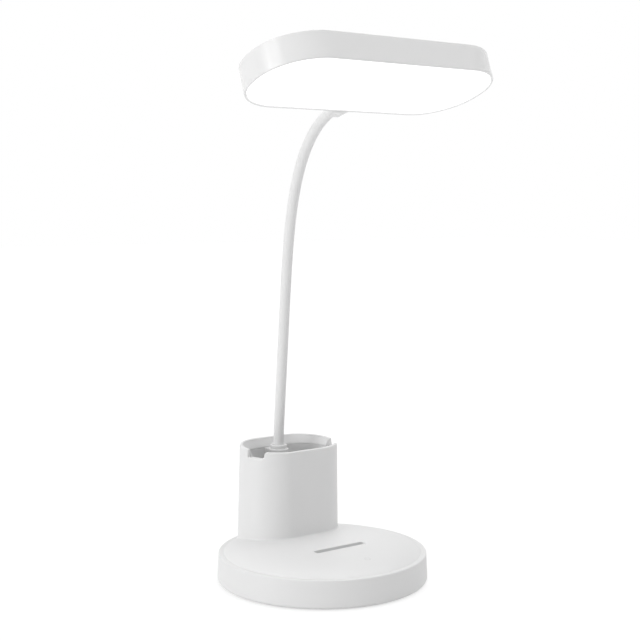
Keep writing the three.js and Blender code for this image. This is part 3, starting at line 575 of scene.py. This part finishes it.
def cupMesh():
    line, radius, wall, fillet = rimLine(), cup["rimRound"], cup["wall"], cup["footFillet"]

    def row(height, out, drafted=1.0):
        return [cupPoint(even, height, out, drafted) for *_, even in line]

    def belowRim(depth, share, out, drafted=1.0):
        # The rim's line at a depth in the wall, moved a share of the way to a level, evenly spread row
        ring = []
        for along, height, outU, outZ, even in line:
            along, height = along - depth * outU, height - depth * outZ
            ring.append(cupPoint(along + (even - along) * share, height + (cup["evenBelow"] - height) * share,
                                 out, drafted))
        return ring

    rings = [row(cup["floor"], -wall - inset, 0) for inset in cup["floorInsets"]]
    rings += [row(height, -wall, 0) for height in cup["innerRows"]]
    rings += [belowRim(radius, share, -wall, 0) for share in cup["evenShares"]]
    edge = arcPoints((radius - wall, radius), radius, 180, 270, 6)
    edge += arcPoints((-radius, radius), radius, 270, 360, 6)
    rings += [belowRim(depth, 0, out, 1 + out / wall) for out, depth in edge]
    rings += [belowRim(radius, share, 0) for share in cup["evenShares"][::-1]]
    rings += [row(height, 0) for height in cup["outerRows"]]
    foot = arcPoints((fillet, fillet), fillet, 180, 270, 9)[:-1] + [(fillet, -cup["footSink"])]
    for out, lift in foot:
        rings.append([(x, y, topHeight(x, y) + lift) for x, y, _ in row(cup["footRow"], out)])
    root = base["underFoot"] + cup["rootRise"]
    rings.append([(x, y, root) for x, y, _ in rings[-1]])
    rings += [row(root, -wall, 0), row(cup["floor"] - wall, -wall, 0)]
    return skin(rings)


# Inside the rim a sloped band runs down to the liner's edge; it stops at the notches
band = {"root": 1.8, "reach": 2.0, "inset": 4.3, "foot": 74.2, "turn": 75.0, "top": 78.55, "underRim": 0.55,
        "step": 1.6}


def rimHeight(along):
    curve = cup["frontRound"]
    past = min(along % cupLength(), -along % cupLength()) - sideLength(cup["notchFront"])
    if past < 0 or past > curve:
        return cup["rim"]
    return cup["rim"] - curve + math.sqrt(curve ** 2 - (curve - past) ** 2)


def rimBand(start, end):
    root, reach, inset, foot, turn = pick(band, "root reach inset foot turn")
    rings = []
    for along in evenRun(start, end, band["step"]) + [end]:
        top = min(band["top"], rimHeight(along) - band["underRim"])
        section = [(root, foot), (inset, foot), (inset, turn), (reach, top), (root, top)]
        rings.append([cupPoint(along, height, -depth, 0) for depth, height in section])
    return skin(rings)


groove = {"length": 37.8, "width": 5, "round": 1.2, "centreY": -18.5, "bottom": 16.6, "lip": 0.45,
          "underTop": 0.8, "lead": 1, "flare": 0.1, "graze": 0.02, "overrun": 2}
touch = {"centreY": -45, "bossRadius": 7, "bossBottom": 18.58, "bossTop": 21}
posts = {"ring": 50, "radius": 3.4, "top": 20.47, "boreRadius": 1.6, "boreFoot": 2, "boreTop": 10.6}
chargeHole = {"halfWidth": 4.75, "halfHeight": 1.95, "corner": 1.8, "height": 10.4, "lip": 0.4,
              "draftShare": 0.54, "depth": 8, "overrun": 4}
neckHole = {"radius": 4.3, "y": 47.7, "bottom": 20, "top": 30}


def onTop(rings):
    # Takes rings whose heights are counted from the top surface
    return [[(x, y, topHeight(x, y) + above) for x, y, above in ring] for ring in rings]


def groovePocket():
    wall, halfX, halfY = base["wall"], groove["length"] / 2, groove["width"] / 2
    outline = roundedOutline(halfX + wall, halfY + wall, groove["round"] + wall, 10)
    levels = [(0, groove["bottom"] - wall), (0, -groove["underTop"])]
    bottom, top = outlineRings(outline, levels, (0, groove["centreY"]))
    return skin([bottom, *onTop([top])])


# The groove's cutter follows the dome, so its rounded lip has the same width all round
def grooveTool():
    outline = roundedOutline(groove["length"] / 2, groove["width"] / 2, groove["round"], 14, 40)
    lip, wide, centre = groove["lip"], groove["lip"] + groove["flare"], (0, groove["centreY"])
    levels = [(0, -lip - groove["lead"]), *arcPoints((lip, -lip), lip, 180, 90, 6),
              (wide, groove["graze"]), (wide, groove["overrun"])]
    bottom = outlineRings(outline, [(0, groove["bottom"])], centre)
    return skin(bottom + onTop(outlineRings(outline, levels, centre)))


def chargeHoleTool():
    hole, lip = chargeHole, chargeHole["lip"]
    outline = roundedOutline(hole["halfWidth"], hole["halfHeight"], hole["corner"], 12, 8)
    wallRadius = base["radius"] - base["draft"] * hole["draftShare"]
    levels = [(0, -hole["depth"]), *arcPoints((lip, -lip), lip, 180, 90, 6), (lip, hole["overrun"])]
    return skin([[(x, math.sqrt(wallRadius ** 2 - x ** 2) + past, z) for x, z, past in ring]
                 for ring in outlineRings(outline, levels, (0, hole["height"]))])


postCentres = [onCircle(math.radians(angle), posts["ring"]) for angle in (45, 135, 225, 315)]


def buildBaseHousing():
    piece = newPiece("baseMoulding", drumMesh())
    inset, foot, top = pick(cup, "hollowInset hollowFoot hollowTop")
    carve(piece, [block(cup, foot, top, (0, cup["centreY"]), (24, 4), -inset)], "DIFFERENCE")
    carve(piece, [cupMesh()], "UNION")
    back, front = sideLength(cup["notchBack"]) - cup["rimRound"], sideLength(cup["notchFront"])
    carve(piece, [rimBand(-back, back), rimBand(front, cupLength() - front)], "UNION")
    carve(piece, [
        groovePocket(),
        *rods(touch["bossRadius"], touch["bossBottom"], touch["bossTop"], 64, [(0, touch["centreY"])]),
        *rods(posts["radius"], base["coverTop"], posts["top"], 32, postCentres)], "UNION")
    carve(piece, [
        grooveTool(), chargeHoleTool(),
        *rods(neckHole["radius"], neckHole["bottom"], neckHole["top"], 64, [(0, neckHole["y"])]),
        *rods(posts["boreRadius"], posts["boreFoot"], posts["boreTop"], 24, postCentres)], "DIFFERENCE")
    seat(smoothed(piece, whites["base"]), "base", "base_white", "base_housing")
    return piece


print("base moulding:", len(buildBaseHousing().data.polygons), "faces")

# Touch mark: a plain ring with a gap and a short bar, printed on the dome
mark = {"radius": 1.65, "line": 0.42, "gap": 34, "barLength": 1.6, "barInside": 0.62, "sink": 0.12,
        "proud": 0.02}


def markStrip(points):
    # A strip with a square section that follows the dome
    rings = []
    for k, (x, y) in enumerate(points):
        before, after = points[max(0, k - 1)], points[min(len(points) - 1, k + 1)]
        side = Vector((after[1] - before[1], before[0] - after[0])).normalized() * mark["line"] / 2
        corners = ((-1, -mark["sink"]), (1, -mark["sink"]), (1, mark["proud"]), (-1, mark["proud"]))
        rings.append([(x + sign * side.x, y + sign * side.y, rise) for sign, rise in corners])
    return skin(onTop(rings))


def buildTouchMark():
    ring = arcPoints((0, touch["centreY"]), mark["radius"], 90 + mark["gap"], 450 - mark["gap"], 56)
    barStart = touch["centreY"] + mark["radius"] - mark["barLength"] * mark["barInside"]
    bar = [(0, barStart + mark["barLength"] * k / 4) for k in range(5)]
    piece = newPiece("touchMark", gather([markStrip(ring), markStrip(bar)]))
    seat(smoothed(piece, others["mark"], 40, False), "base", "base_white")


buildTouchMark()

# Cup liner with the neck's pillar, and the collar on it
liner = {"wall": 1.8, "gap": 0.3, "floor": 1.6, "top": 74.1, "edge": 0.2, "floorReach": 10, "cove": 1.2,
         "coveIn": 0.4, "coveUp": 0.35, "footChamfer": 0.3, "pillarRadius": 6.4, "pillarEdge": 0.6,
         "pillarSink": 0.5, "pillarBack": 0.7, "boreRadius": 4.3, "boreFoot": 20, "boreTop": 80}
collar = {"height": 2.6, "bore": 3.6, "radius": 5.4, "edge": 0.8, "boreEdge": 0.4, "chamfer": 0.2}


def buildLiner():
    outline = roundedOutline(cup["halfLength"], cup["halfDepth"], cup["corner"], 30, 10)
    outside = -cup["wall"] - liner["gap"]
    inside = outside - liner["wall"]
    top, edge, chamfer = pick(liner, "top edge footChamfer")
    floor = cup["floor"] + liner["floor"]
    levels = [(inside - liner["floorReach"], floor), (inside - liner["cove"], floor),
              (inside - liner["coveIn"], floor + liner["coveUp"]), (inside, floor + liner["cove"])]
    levels += arcPoints((inside + edge, top - edge), edge, 180, 90, 3)
    levels += arcPoints((outside - edge, top - edge), edge, 90, 0, 3)
    levels += [(outside, cup["floor"] + chamfer), (outside - chamfer, cup["floor"])]
    rings = outlineRings(outline, levels, (0, cup["centreY"]))
    piece = newPiece("cupLiner", skin([[cupLean(*point) for point in ring] for ring in rings]))
    radius, rounding, y = liner["pillarRadius"], liner["pillarEdge"], neckHole["y"]
    backY = cup["centreY"] + cup["halfDepth"] + outside - liner["wall"] / 2
    facing = arcPoints((0, 0), 1, 180, 360, 48)
    pillar = [(radius * outX, y + radius * outY, outX, outY) for outX, outY in facing]
    pillar += [(radius, backY, 1, 0), (-radius, backY, -1, 0)]
    levels = [(0, cup["floor"] + liner["pillarSink"])]
    levels += arcPoints((-rounding, top - rounding), rounding, 0, 90, 6)
    # The pillar's back runs in the leaning wall
    rings = [[cupLean(*point) if point[1] > backY - liner["pillarBack"] else point for point in ring]
             for ring in outlineRings(pillar, levels)]
    carve(piece, [skin(rings)], "UNION")
    carve(piece, rods(liner["boreRadius"], liner["boreFoot"], liner["boreTop"], 64, [(0, y)]), "DIFFERENCE")
    seat(smoothed(piece, whites["liner"]), "base", "liner_white", "cup_liner")


def buildCollar():
    bore, radius, edge, boreEdge, chamfer = pick(collar, "bore radius edge boreEdge chamfer")
    foot, top = liner["top"], liner["top"] + collar["height"]
    profile = [(bore, foot + chamfer), (bore + chamfer, foot), (radius, foot)]
    profile += arcPoints((radius - edge, top - edge), edge, 0, 90, 8)
    profile += arcPoints((bore + boreEdge, top - boreEdge), boreEdge, 90, 180, 5)
    piece = newPiece("neckCollar", skin(turnedRings(profile, 72, (0, neckHole["y"])), poles=False))
    seat(smoothed(piece, whites["sleeve"]), "base", "sleeve_white", "neck_collar")


buildLiner()
buildCollar()
print("liner and collar done")

# Neck: its tilt is a formula of the length along it
neck = {
    "length": 229, "leanRun": 20, "straightRun": 70, "lean": 5.05, "curlPower": 3.3, "headTilt": 19.8,
    "firstJoint": 14, "pitch": 27.5, "joints": 8, "radius": 3.3, "bore": 2.2, "step": 1.0, "bendHalf": 12,
    "sides": 40, "lineSteps": 320, "sleeveStart": -3.7, "tipGap": 0.1, "endStep": 0.02, "coilStart": -12,
    "coilRadius": 1.9, "coilDepth": 0.28, "coilPitch": 2.2, "coilStep": 0.275, "coilSides": 20,
}


def neckTilt(along):
    length, leanRun, straightRun, lean, headTilt = pick(neck, "length leanRun straightRun lean headTilt")
    share = clamped(along / leanRun)
    curl = max(0.0, (along - straightRun) / (length - straightRun))
    return (math.radians(lean) * share * share * (3 - 2 * share)
            + math.radians(90 - headTilt - lean) * curl ** neck["curlPower"])


def neckPoint(along):
    y, z = neckHole["y"], liner["top"]
    if along <= 0:
        return Vector((0, y, z + along))
    step = along / neck["lineSteps"]
    for k in range(neck["lineSteps"]):
        tilt = neckTilt((k + 0.5) * step)
        y -= step * math.sin(tilt)
        z += step * math.cos(tilt)
    return Vector((0, y, z))


# A tube along a line of points; ribs are waves of its radius, as on a wound metal hose
def buildHoseTree():
    tree, given, result = newTree("hoseAlongPath", {
        "Radius": "Float", "Rib Depth": "Float", "Rib Pitch": "Float", "Sides": "Int", "Capped": "Bool"})
    along = newNode(tree, "GeometryNodeSplineParameter")["Length"]
    angle = mathNode(tree, "MULTIPLY", mathNode(tree, "DIVIDE", along, given["Rib Pitch"]), math.tau)
    wave = mathNode(tree, "SINE", angle)
    radius = mathNode(tree, "MULTIPLY_ADD", wave, given["Rib Depth"], given["Radius"])
    curve = newNode(tree, "GeometryNodeMeshToCurve", {"Mesh": given["Geometry"]})
    circle = newNode(tree, "GeometryNodeCurvePrimitiveCircle", {"Resolution": given["Sides"], "Radius": 1})
    sweep = newNode(tree, "GeometryNodeCurveToMesh", {
        "Curve": curve["Curve"], "Profile Curve": circle["Curve"], "Scale": radius,
        "Fill Caps": given["Capped"]})
    smooth = newNode(tree, "GeometryNodeSetShadeSmooth", {"Geometry": sweep["Mesh"]})
    return endTree(tree, given, result, smooth["Geometry"])


hoseTree = buildHoseTree()


def hose(name, points, radius, material, sides, ribDepth=0.0, ribPitch=1.0, wall=0.0):
    mesh = bpy.data.meshes.new(name)
    edges = [(k, k + 1) for k in range(len(points) - 1)]
    mesh.from_pydata([Vector(point) * mm for point in points], edges, [])
    piece = growTree(newPiece(name, mesh), hoseTree, {
        "Radius": radius * mm, "Rib Depth": ribDepth * mm, "Rib Pitch": ribPitch * mm,
        "Sides": sides, "Capped": wall == 0, "Finish": material,
    })
    if wall:
        shell = piece.modifiers.new("wall", "SOLIDIFY")
        shell.thickness = wall * mm
        shell.offset = -1
        settle(piece)
    squareUp(piece.data)
    return smoothed(piece, material, 50, False)


def neckRun(start, end, step):
    # A short first and last step give the ends the line's own direction
    places = evenRun(start, end, step)
    places[1:1] = [start + neck["endStep"]]
    return [neckPoint(along) for along in places + [end - neck["endStep"], end]]


def buildNeck():
    bodies = ["base"] + [f"neck_{k}" for k in range(1, neck["joints"])] + ["head"]
    places = [neck["firstJoint"] + k * neck["pitch"] for k in range(neck["joints"])]
    names = ["root"] + [str(k) for k in range(1, neck["joints"])] + ["tip"]
    for k, joint in enumerate(places):
        first, last = k == 0, k == len(places) - 1
        start, end = joint - neck["pitch"] / 2, joint + neck["pitch"] / 2
        if last:
            end = neck["length"] - neck["tipGap"]
        near = (bodies[k], neckPoint(joint - neck["bendHalf"]) * mm)
        far = (bodies[k + 1], neckPoint(joint + neck["bendHalf"]) * mm)
        if last:
            near, far = far, near
        stood = [names[k]] + ([names[k + 1]] if last else [])
        sleeveRun = neckRun(neck["sleeveStart"] if first else start, end, neck["step"])
        sleeve = hose(f"neckSleeve{k + 1}", sleeveRun, neck["radius"], whites["sleeve"], neck["sides"],
                      wall=neck["radius"] - neck["bore"])
        coilRun = neckRun(neck["coilStart"] if first else start, end, neck["coilStep"])
        coil = hose(f"neckCoil{k + 1}", coilRun, neck["coilRadius"] - neck["coilDepth"], others["steel"],
                    neck["coilSides"], neck["coilDepth"], neck["coilPitch"])
        for piece, part, slotName in ((sleeve, "sleeve", "sleeve_white"), (coil, "core", "steel")):
            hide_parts(*[f"neck_{part}_{name}" for name in stood])
            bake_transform(piece)


buildNeck()
print("neck done")

# Head: a wide shallow tray, made in its own frame at the end of the neck
head = {
    "halfLength": 81.2, "halfDepth": 32.7, "corner": 30.9, "bottom": -3.9, "top": 12.1, "wall": 2.4,
    "topWall": 1.8, "topRound": 0.7, "lip": 0.5, "innerLip": 0.25, "centreY": -41.3, "recessTop": -1.4,
    "rim": 1.3, "reach": 20, "innerRound": 0.8, "innerMiddle": 0.23, "topRun": 1.5, "seamHalf": 2.5,
    "wallShares": (0.3, 0.55),
    "slot": {"halfLength": 5.3, "halfDepth": 3.6, "corner": 0.4, "bottom": -0.1, "top": 5.7},
}
studs = {"radius": 2.6, "bore": 1.2, "root": 0.9, "panelX": 47.6, "panelY": 7, "panelFoot": 8.3,
         "panelBoreFoot": 7, "tongueX": 2.8, "tongueY": -20.6, "tongueFoot": 5.4, "tongueBoreFoot": 3,
         "tongueBoreTop": 8}
diffuser = {"gap": 0.3, "lift": 0.4, "height": 1.8, "edge": 0.35, "chamfer": 0.6}
connector = {"start": 5.6, "wide": 7.0, "low": 4.1, "high": 6.4, "face": -8.3, "edge": 0.9, "corner": 2.4,
             "swell": 1.35, "steps": 24, "bore": 1.9, "boreFrom": -2, "boreTo": 7.3, "screwFoot": -1,
             "screwTop": 7}
tongue = {"halfWidth": 5, "bottom": 0.2, "top": 5.4, "corner": 0.6, "root": 2, "end": -26.6}
headPlace = Matrix.Translation(neckPoint(neck["length"]) * mm) @ Matrix.Rotation(
    -math.radians(neck["headTilt"]), 4, "X")
headOutline = roundedOutline(head["halfLength"], head["halfDepth"], head["corner"], 40, 24)
headCentre, headBack = (0, head["centreY"]), (0, head["centreY"] + head["halfDepth"])
panelPosts = [(sideX * studs["panelX"], head["centreY"] + sideY * studs["panelY"])
              for sideX in (-1, 1) for sideY in (-1, 1)]
tongueScrews = [(side * studs["tongueX"], studs["tongueY"]) for side in (-1, 1)]


def seatOnHead(piece, material, slotName, *nodes, weighted=True):
    piece.data.transform(headPlace)
    seat(smoothed(piece, material, weighted=weighted), "head", slotName, *nodes)


def buildHeadShell():
    wall, rim, bend, lip, innerLip, bottom, top = pick(head, "wall rim topRound lip innerLip bottom top")
    ceiling, rounding, middle = top - head["topWall"], head["innerRound"], head["innerMiddle"]
    levels = [(-wall - head["reach"], ceiling), (-wall - rounding, ceiling),
              (-wall - middle, ceiling - middle), (-wall, ceiling - rounding),
              (-wall, head["recessTop"]), (-rim, head["recessTop"])]
    levels += arcPoints((innerLip - rim, bottom + innerLip), innerLip, 180, 270, 4)
    levels += arcPoints((-lip, bottom + lip), lip, 270, 360, 6)
    levels += [(0, bottom + (top - bottom) * share) for share in head["wallShares"]]
    levels += arcPoints((-bend, top - bend), bend, 0, 90, 12)
    levels += [(-bend - head["topRun"], top), (head["seamHalf"] - head["halfDepth"], top)]
    piece = newPiece("headShell", skin(outlineRings(headOutline, levels, headCentre)))
    radius, bore, root, slot = studs["radius"], studs["bore"], ceiling + studs["root"], head["slot"]
    carve(piece, rods(radius, studs["panelFoot"], root, 32, panelPosts)
          + rods(radius, studs["tongueFoot"], root, 32, tongueScrews), "UNION")
    carve(piece, [block(slot, slot["bottom"], slot["top"], headBack, (4, 2)),
                  *rods(bore, studs["panelBoreFoot"], ceiling, 24, panelPosts),
                  *rods(bore, studs["tongueBoreFoot"], studs["tongueBoreTop"], 24, tongueScrews)],
          "DIFFERENCE")
    seatOnHead(piece, whites["head"], "head_white", "head_shell")


def buildDiffuser():
    gap, lift, height, edge, chamfer = pick(diffuser, "gap lift height edge chamfer")
    side, bottom = -head["rim"] - gap - edge, head["bottom"] + lift
    levels = [(head["seamHalf"] - head["halfDepth"], bottom), (side - chamfer, bottom)]
    levels += arcPoints((side, bottom + edge), edge, 270, 360, 5)
    levels += arcPoints((side, bottom + height - edge), edge, 0, 90, 5)
    piece = newPiece("diffuserPanel", skin(outlineRings(headOutline, levels, headCentre)))
    seatOnHead(piece, glow, "diffuser_white", "diffuser")


def sectionRing(y, halfWidth, bottom, top, corner):
    middle = (bottom + top) / 2
    return [(x, y, middle + z) for x, z, _, _ in roundedOutline(halfWidth, (top - bottom) / 2, corner, 14, 4)]


def buildConnector():
    start, wide, low, high, edge, face, corner = pick(connector, "start wide low high edge face corner")
    bottom = head["bottom"]
    rings = [sectionRing(y, start - inset, bottom + inset, low - inset, corner - inset)
             for y, inset in arcPoints((-edge, edge), edge, 0, -90, 6)]
    for k in range(1, connector["steps"] + 1):
        share = k / connector["steps"]
        rise = share ** connector["swell"]
        rings.append(sectionRing(-edge + (face + edge) * share, start + (wide - start) * rise, bottom,
                                 low + (high - low) * rise, corner))
    piece = newPiece("headConnector", skin(rings))
    carve(piece, [skin([sectionRing(y, *pick(tongue, "halfWidth bottom top corner"))
                        for y in (face + tongue["root"], tongue["end"])])], "UNION")
    bore = rods(connector["bore"], connector["boreFrom"], connector["boreTo"], 48, [(0, 0)])[0]
    bore.transform(Matrix.Rotation(quarterTurn, 4, "X"))
    screwBores = rods(studs["bore"], connector["screwFoot"], connector["screwTop"], 24, tongueScrews)
    carve(piece, [bore, *screwBores], "DIFFERENCE")
    seatOnHead(piece, whites["connector"], "head_white", "head_connector")


buildHeadShell()
buildDiffuser()
buildConnector()
print("head done")

# Light board with its rows of chips
lightBoard = {"halfLength": 66, "halfDepth": 23, "corner": 18, "bottom": 7.1, "top": 8.3, "pitchX": 13.6,
              "pitchY": 14, "columns": 9, "rows": 3, "chip": 2.8, "chipHeight": 0.7, "boreFoot": 6,
              "boreTop": 9,
              "notch": {"halfLength": 5.7, "halfDepth": 18, "corner": 0.5, "bottom": 4, "top": 9}}


# Blocks in even rows and columns
def buildRowsTree():
    tree, given, result = newTree("blocksInRows", {
        "Span X": "Float", "Span Y": "Float", "Columns": "Int", "Rows": "Int", "Block": "Vector",
        "Place": "Vector"})
    grid = newNode(tree, "GeometryNodeMeshGrid", {
        "Size X": given["Span X"], "Size Y": given["Span Y"], "Vertices X": given["Columns"],
        "Vertices Y": given["Rows"]})
    cube = newNode(tree, "GeometryNodeMeshCube", {"Size": given["Block"]})
    stand = newNode(tree, "GeometryNodeInstanceOnPoints", {"Points": grid["Mesh"], "Instance": cube["Mesh"]})
    move = newNode(tree, "GeometryNodeTransform", {
        "Geometry": stand["Instances"], "Translation": given["Place"]})
    return endTree(tree, given, result, move["Geometry"])


rowsTree = buildRowsTree()


def growRows(name, spans, counts, size, place, material):
    return growTree(newPiece(name, bpy.data.meshes.new(name)), rowsTree, {
        "Span X": spans[0] * mm, "Span Y": spans[1] * mm, "Columns": counts[0], "Rows": counts[1],
        "Block": Vector(size) * mm, "Place": Vector(place) * mm, "Finish": material,
    })


def buildLightBoard():
    bottom, top, columns, rows, chip, chipHeight, notch = pick(
        lightBoard, "bottom top columns rows chip chipHeight notch")
    board = newPiece("lightBoard", block(lightBoard, bottom, top, headCentre, (16, 6)))
    carve(board, [block(notch, notch["bottom"], notch["top"], headBack, (4, 2)),
                  *rods(studs["bore"], lightBoard["boreFoot"], lightBoard["boreTop"], 24, panelPosts)],
          "DIFFERENCE")
    seatOnHead(board, whites["lightBoard"], "panel_white", "light_panel", weighted=False)
    spans = (lightBoard["pitchX"] * (columns - 1), lightBoard["pitchY"] * (rows - 1))
    chips = growRows("lightChips", spans, (columns, rows), (chip, chip, chipHeight),
                     (0, head["centreY"], bottom - chipHeight / 2), others["chip"])
    seatOnHead(chips, others["chip"], "panel_white", weighted=False)


buildLightBoard()

# Screws
screwKinds = {
    "base": {"head": 2.4, "height": 1.3, "shank": 1.2, "length": 7.6, "depth": 0.7, "foot": 1.2},
    "panel": {"head": 2.0, "height": 1.1, "shank": 0.9, "length": 3.7, "depth": 0.6, "foot": 5.7},
    "tongue": {"head": 2.0, "height": 1.1, "shank": 0.9, "length": 8.9, "depth": 0.6, "foot": -1.2},
    "recess": 0.55,
}


# Screws with a socket in the head, one on each point, heads down
def buildScrewTree():
    tree, given, result = newTree("screwsOnPoints", {title: "Float" for title in (
        "Head Radius", "Head Height", "Shank Radius", "Length", "Recess Share", "Recess Depth")})

    def lifted(mesh, depth, lift):
        # Moves a cylinder up by half its depth and a lift
        place = newNode(tree, "ShaderNodeCombineXYZ", {"Z": mathNode(tree, "MULTIPLY_ADD", depth, 0.5, lift)})
        return newNode(tree, "GeometryNodeTransform", {
            "Geometry": mesh, "Translation": place["Vector"]})["Geometry"]

    height = given["Head Height"]
    cap = newNode(tree, "GeometryNodeMeshCylinder", {
        "Vertices": 32, "Radius": given["Head Radius"], "Depth": height})
    rim = newNode(tree, "GeometryNodeExtrudeMesh", {
        "Mesh": cap["Mesh"], "Selection": cap["Bottom"], "Offset Scale": 0})
    shrink = newNode(tree, "GeometryNodeScaleElements", {
        "Geometry": rim["Mesh"], "Selection": rim["Top"], "Scale": given["Recess Share"]})
    sink = newNode(tree, "GeometryNodeExtrudeMesh", {
        "Mesh": shrink["Geometry"], "Selection": rim["Top"],
        "Offset Scale": mathNode(tree, "MULTIPLY", given["Recess Depth"], -1)})
    rest = mathNode(tree, "SUBTRACT", given["Length"], height)
    shank = newNode(tree, "GeometryNodeMeshCylinder", {
        "Vertices": 24, "Radius": given["Shank Radius"], "Depth": rest})
    whole = tree.nodes.new("GeometryNodeJoinGeometry")
    for part in (lifted(sink["Mesh"], height, 0), lifted(shank["Mesh"], rest, height)):
        tree.links.new(part, whole.inputs["Geometry"])
    stand = newNode(tree, "GeometryNodeInstanceOnPoints", {
        "Points": given["Geometry"], "Instance": whole.outputs["Geometry"]})
    return endTree(tree, given, result, stand["Instances"])


screwTree = buildScrewTree()


def buildScrews(name, kind, places, body, nodes, shape=None):
    values = screwKinds[kind]
    mesh = bpy.data.meshes.new(name)
    mesh.from_pydata([Vector((x, y, values["foot"])) * mm for x, y in places], [], [])
    piece = growTree(newPiece(name, mesh), screwTree, {
        "Head Radius": values["head"] * mm, "Head Height": values["height"] * mm,
        "Shank Radius": values["shank"] * mm, "Length": values["length"] * mm,
        "Recess Share": screwKinds["recess"], "Recess Depth": values["depth"] * mm, "Finish": others["steel"],
    })
    if shape:
        piece.data.transform(shape)
    seat(smoothed(piece, others["steel"], 40, False), body, "steel", *nodes)


buildScrews("baseScrews", "base", postCentres, "base", [f"base_screw_{k}" for k in range(1, 5)])
buildScrews("panelScrews", "panel", panelPosts, "head", [f"panel_screw_{k}" for k in range(1, 5)], headPlace)
buildScrews("connectorScrews", "tongue", tongueScrews, "head", [f"connector_screw_{k}" for k in range(1, 3)],
            headPlace)

# Under the base, and what is inside it
pad = {"radius": 57, "thickness": 1.2, "edge": 0.4, "middle": 1, "rings": 7, "ringDepth": 0.3,
       "ringWidth": 1.1, "ringSlope": 0.15}


def buildPad():
    radius, edge, half, depth = pad["radius"], pad["edge"], pad["ringWidth"] / 2, pad["ringDepth"]
    profile = [(pad["middle"], 0)]
    for k in range(1, pad["rings"] + 1):
        middle = radius * k / (pad["rings"] + 1)
        profile += [(middle - half, 0), (middle - half + pad["ringSlope"], depth),
                    (middle + half - pad["ringSlope"], depth), (middle + half, 0)]
    profile += [*arcPoints((radius - edge, edge), edge, 270, 360, 5), (radius, pad["thickness"])]
    piece = newPiece("footPad", skin(turnedRings(profile, 160)))
    seat(smoothed(piece, others["pad"]), "base", "pad_grey", "anti_slip_pad")


socket = {"halfWidth": 4.45, "halfHeight": 1.65, "round": 1.6, "wall": 0.35, "mouth": 63.2, "length": 7.3,
          "height": 10.4, "edge": 0.12, "innerEdge": 0.08, "innerDepth": 0.1, "backWall": 1.75, "sink": 0.25}
blade = {"half": 3.3, "thick": 0.8, "corner": 0.2, "reach": 4.8, "chamfer": 0.2, "tip": 0.15}
contacts = {"count": 8, "span": 5.0, "depthSpan": 0.0001, "block": (0.34, 3.2, 0.08), "fromEnd": 2.0,
            "proud": 0.02}


def buildSocket():
    mouth, back, wall = socket["mouth"], socket["mouth"] - socket["length"], socket["wall"]
    root = back + socket["backWall"]
    end = root + blade["reach"]

    def turned(outline, levels):
        # A skin whose levels lie along y
        rings = outlineRings(outline, levels, (0, socket["height"]))
        return skin([[(x, y, z) for x, z, y in ring] for ring in rings])

    shell = turned(roundedOutline(socket["halfWidth"], socket["halfHeight"], socket["round"], 14, 6), [
        (0, back), (0, mouth - socket["edge"]), (-socket["edge"], mouth), (socket["innerEdge"] - wall, mouth),
        (-wall, mouth - socket["innerDepth"]), (-wall, root)])
    shellPiece = smoothed(newPiece("chargeSocket", shell), others["steel"], 40, False)
    seat(shellPiece, "base", "steel", "charge_socket")
    inner = turned(roundedOutline(blade["half"], blade["thick"] / 2, blade["corner"], 5, 3), [
        (0, root - socket["sink"]), (0, end - blade["chamfer"]), (-blade["tip"], end)])
    seat(smoothed(newPiece("socketTongue", inner), others["mark"], 40, False), "base", "steel")
    for name, side in (("socketContactsTop", 1), ("socketContactsBottom", -1)):
        height = socket["height"] + side * (blade["thick"] / 2 + contacts["proud"])
        pins = growRows(name, (contacts["span"], contacts["depthSpan"]), (contacts["count"], 1),
                        contacts["block"], (0, end - contacts["fromEnd"], height), others["gold"])
        seat(smoothed(pins, others["gold"], 40, False), "base", "contact_copper")


spring = {"low": 3.0, "high": 2.2, "wire": 0.28, "turns": 5, "bottom": 8.75, "top": 18.08, "flatShare": 0.08,
          "steps": 160, "sides": 10}


def buildSpring():
    low, high, wire, bottom, top, flat, steps = pick(spring, "low high wire bottom top flatShare steps")
    points = []
    for share in (k / steps for k in range(steps + 1)):
        angle, radius = math.tau * spring["turns"] * share, low + (high - low) * share - wire
        rise = (top - bottom - 2 * wire) * clamped((share - flat) / (1 - 2 * flat))
        points.append((*onCircle(angle, radius, (0, touch["centreY"])), bottom + wire + rise))
    piece = hose("touchSpring", points, wire, others["copper"], spring["sides"])
    seat(piece, "base", "contact_copper", "touch_spring")


buildPad()
buildSocket()
buildSpring()

# The rest keeps its CAD mesh and gets its finish
keptFinishes = (
    (whites["base"], "bottom_cover"), (others["weight"], "counterweight"), (others["cell"], "battery"),
    (others["board"], "control_board charge_board"), (others["copper"], "touch_pad"),
    (others["steel"], "neck_ferrule neck_washer neck_nut neck_tip_pin"),
)
for finish, nodeNames in keptFinishes:
    for mesh in (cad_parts[nodeName].data for nodeName in nodeNames.split()):
        mesh.materials.clear()
        mesh.materials.append(finish)
print("inner pieces done")

print("all pieces built")
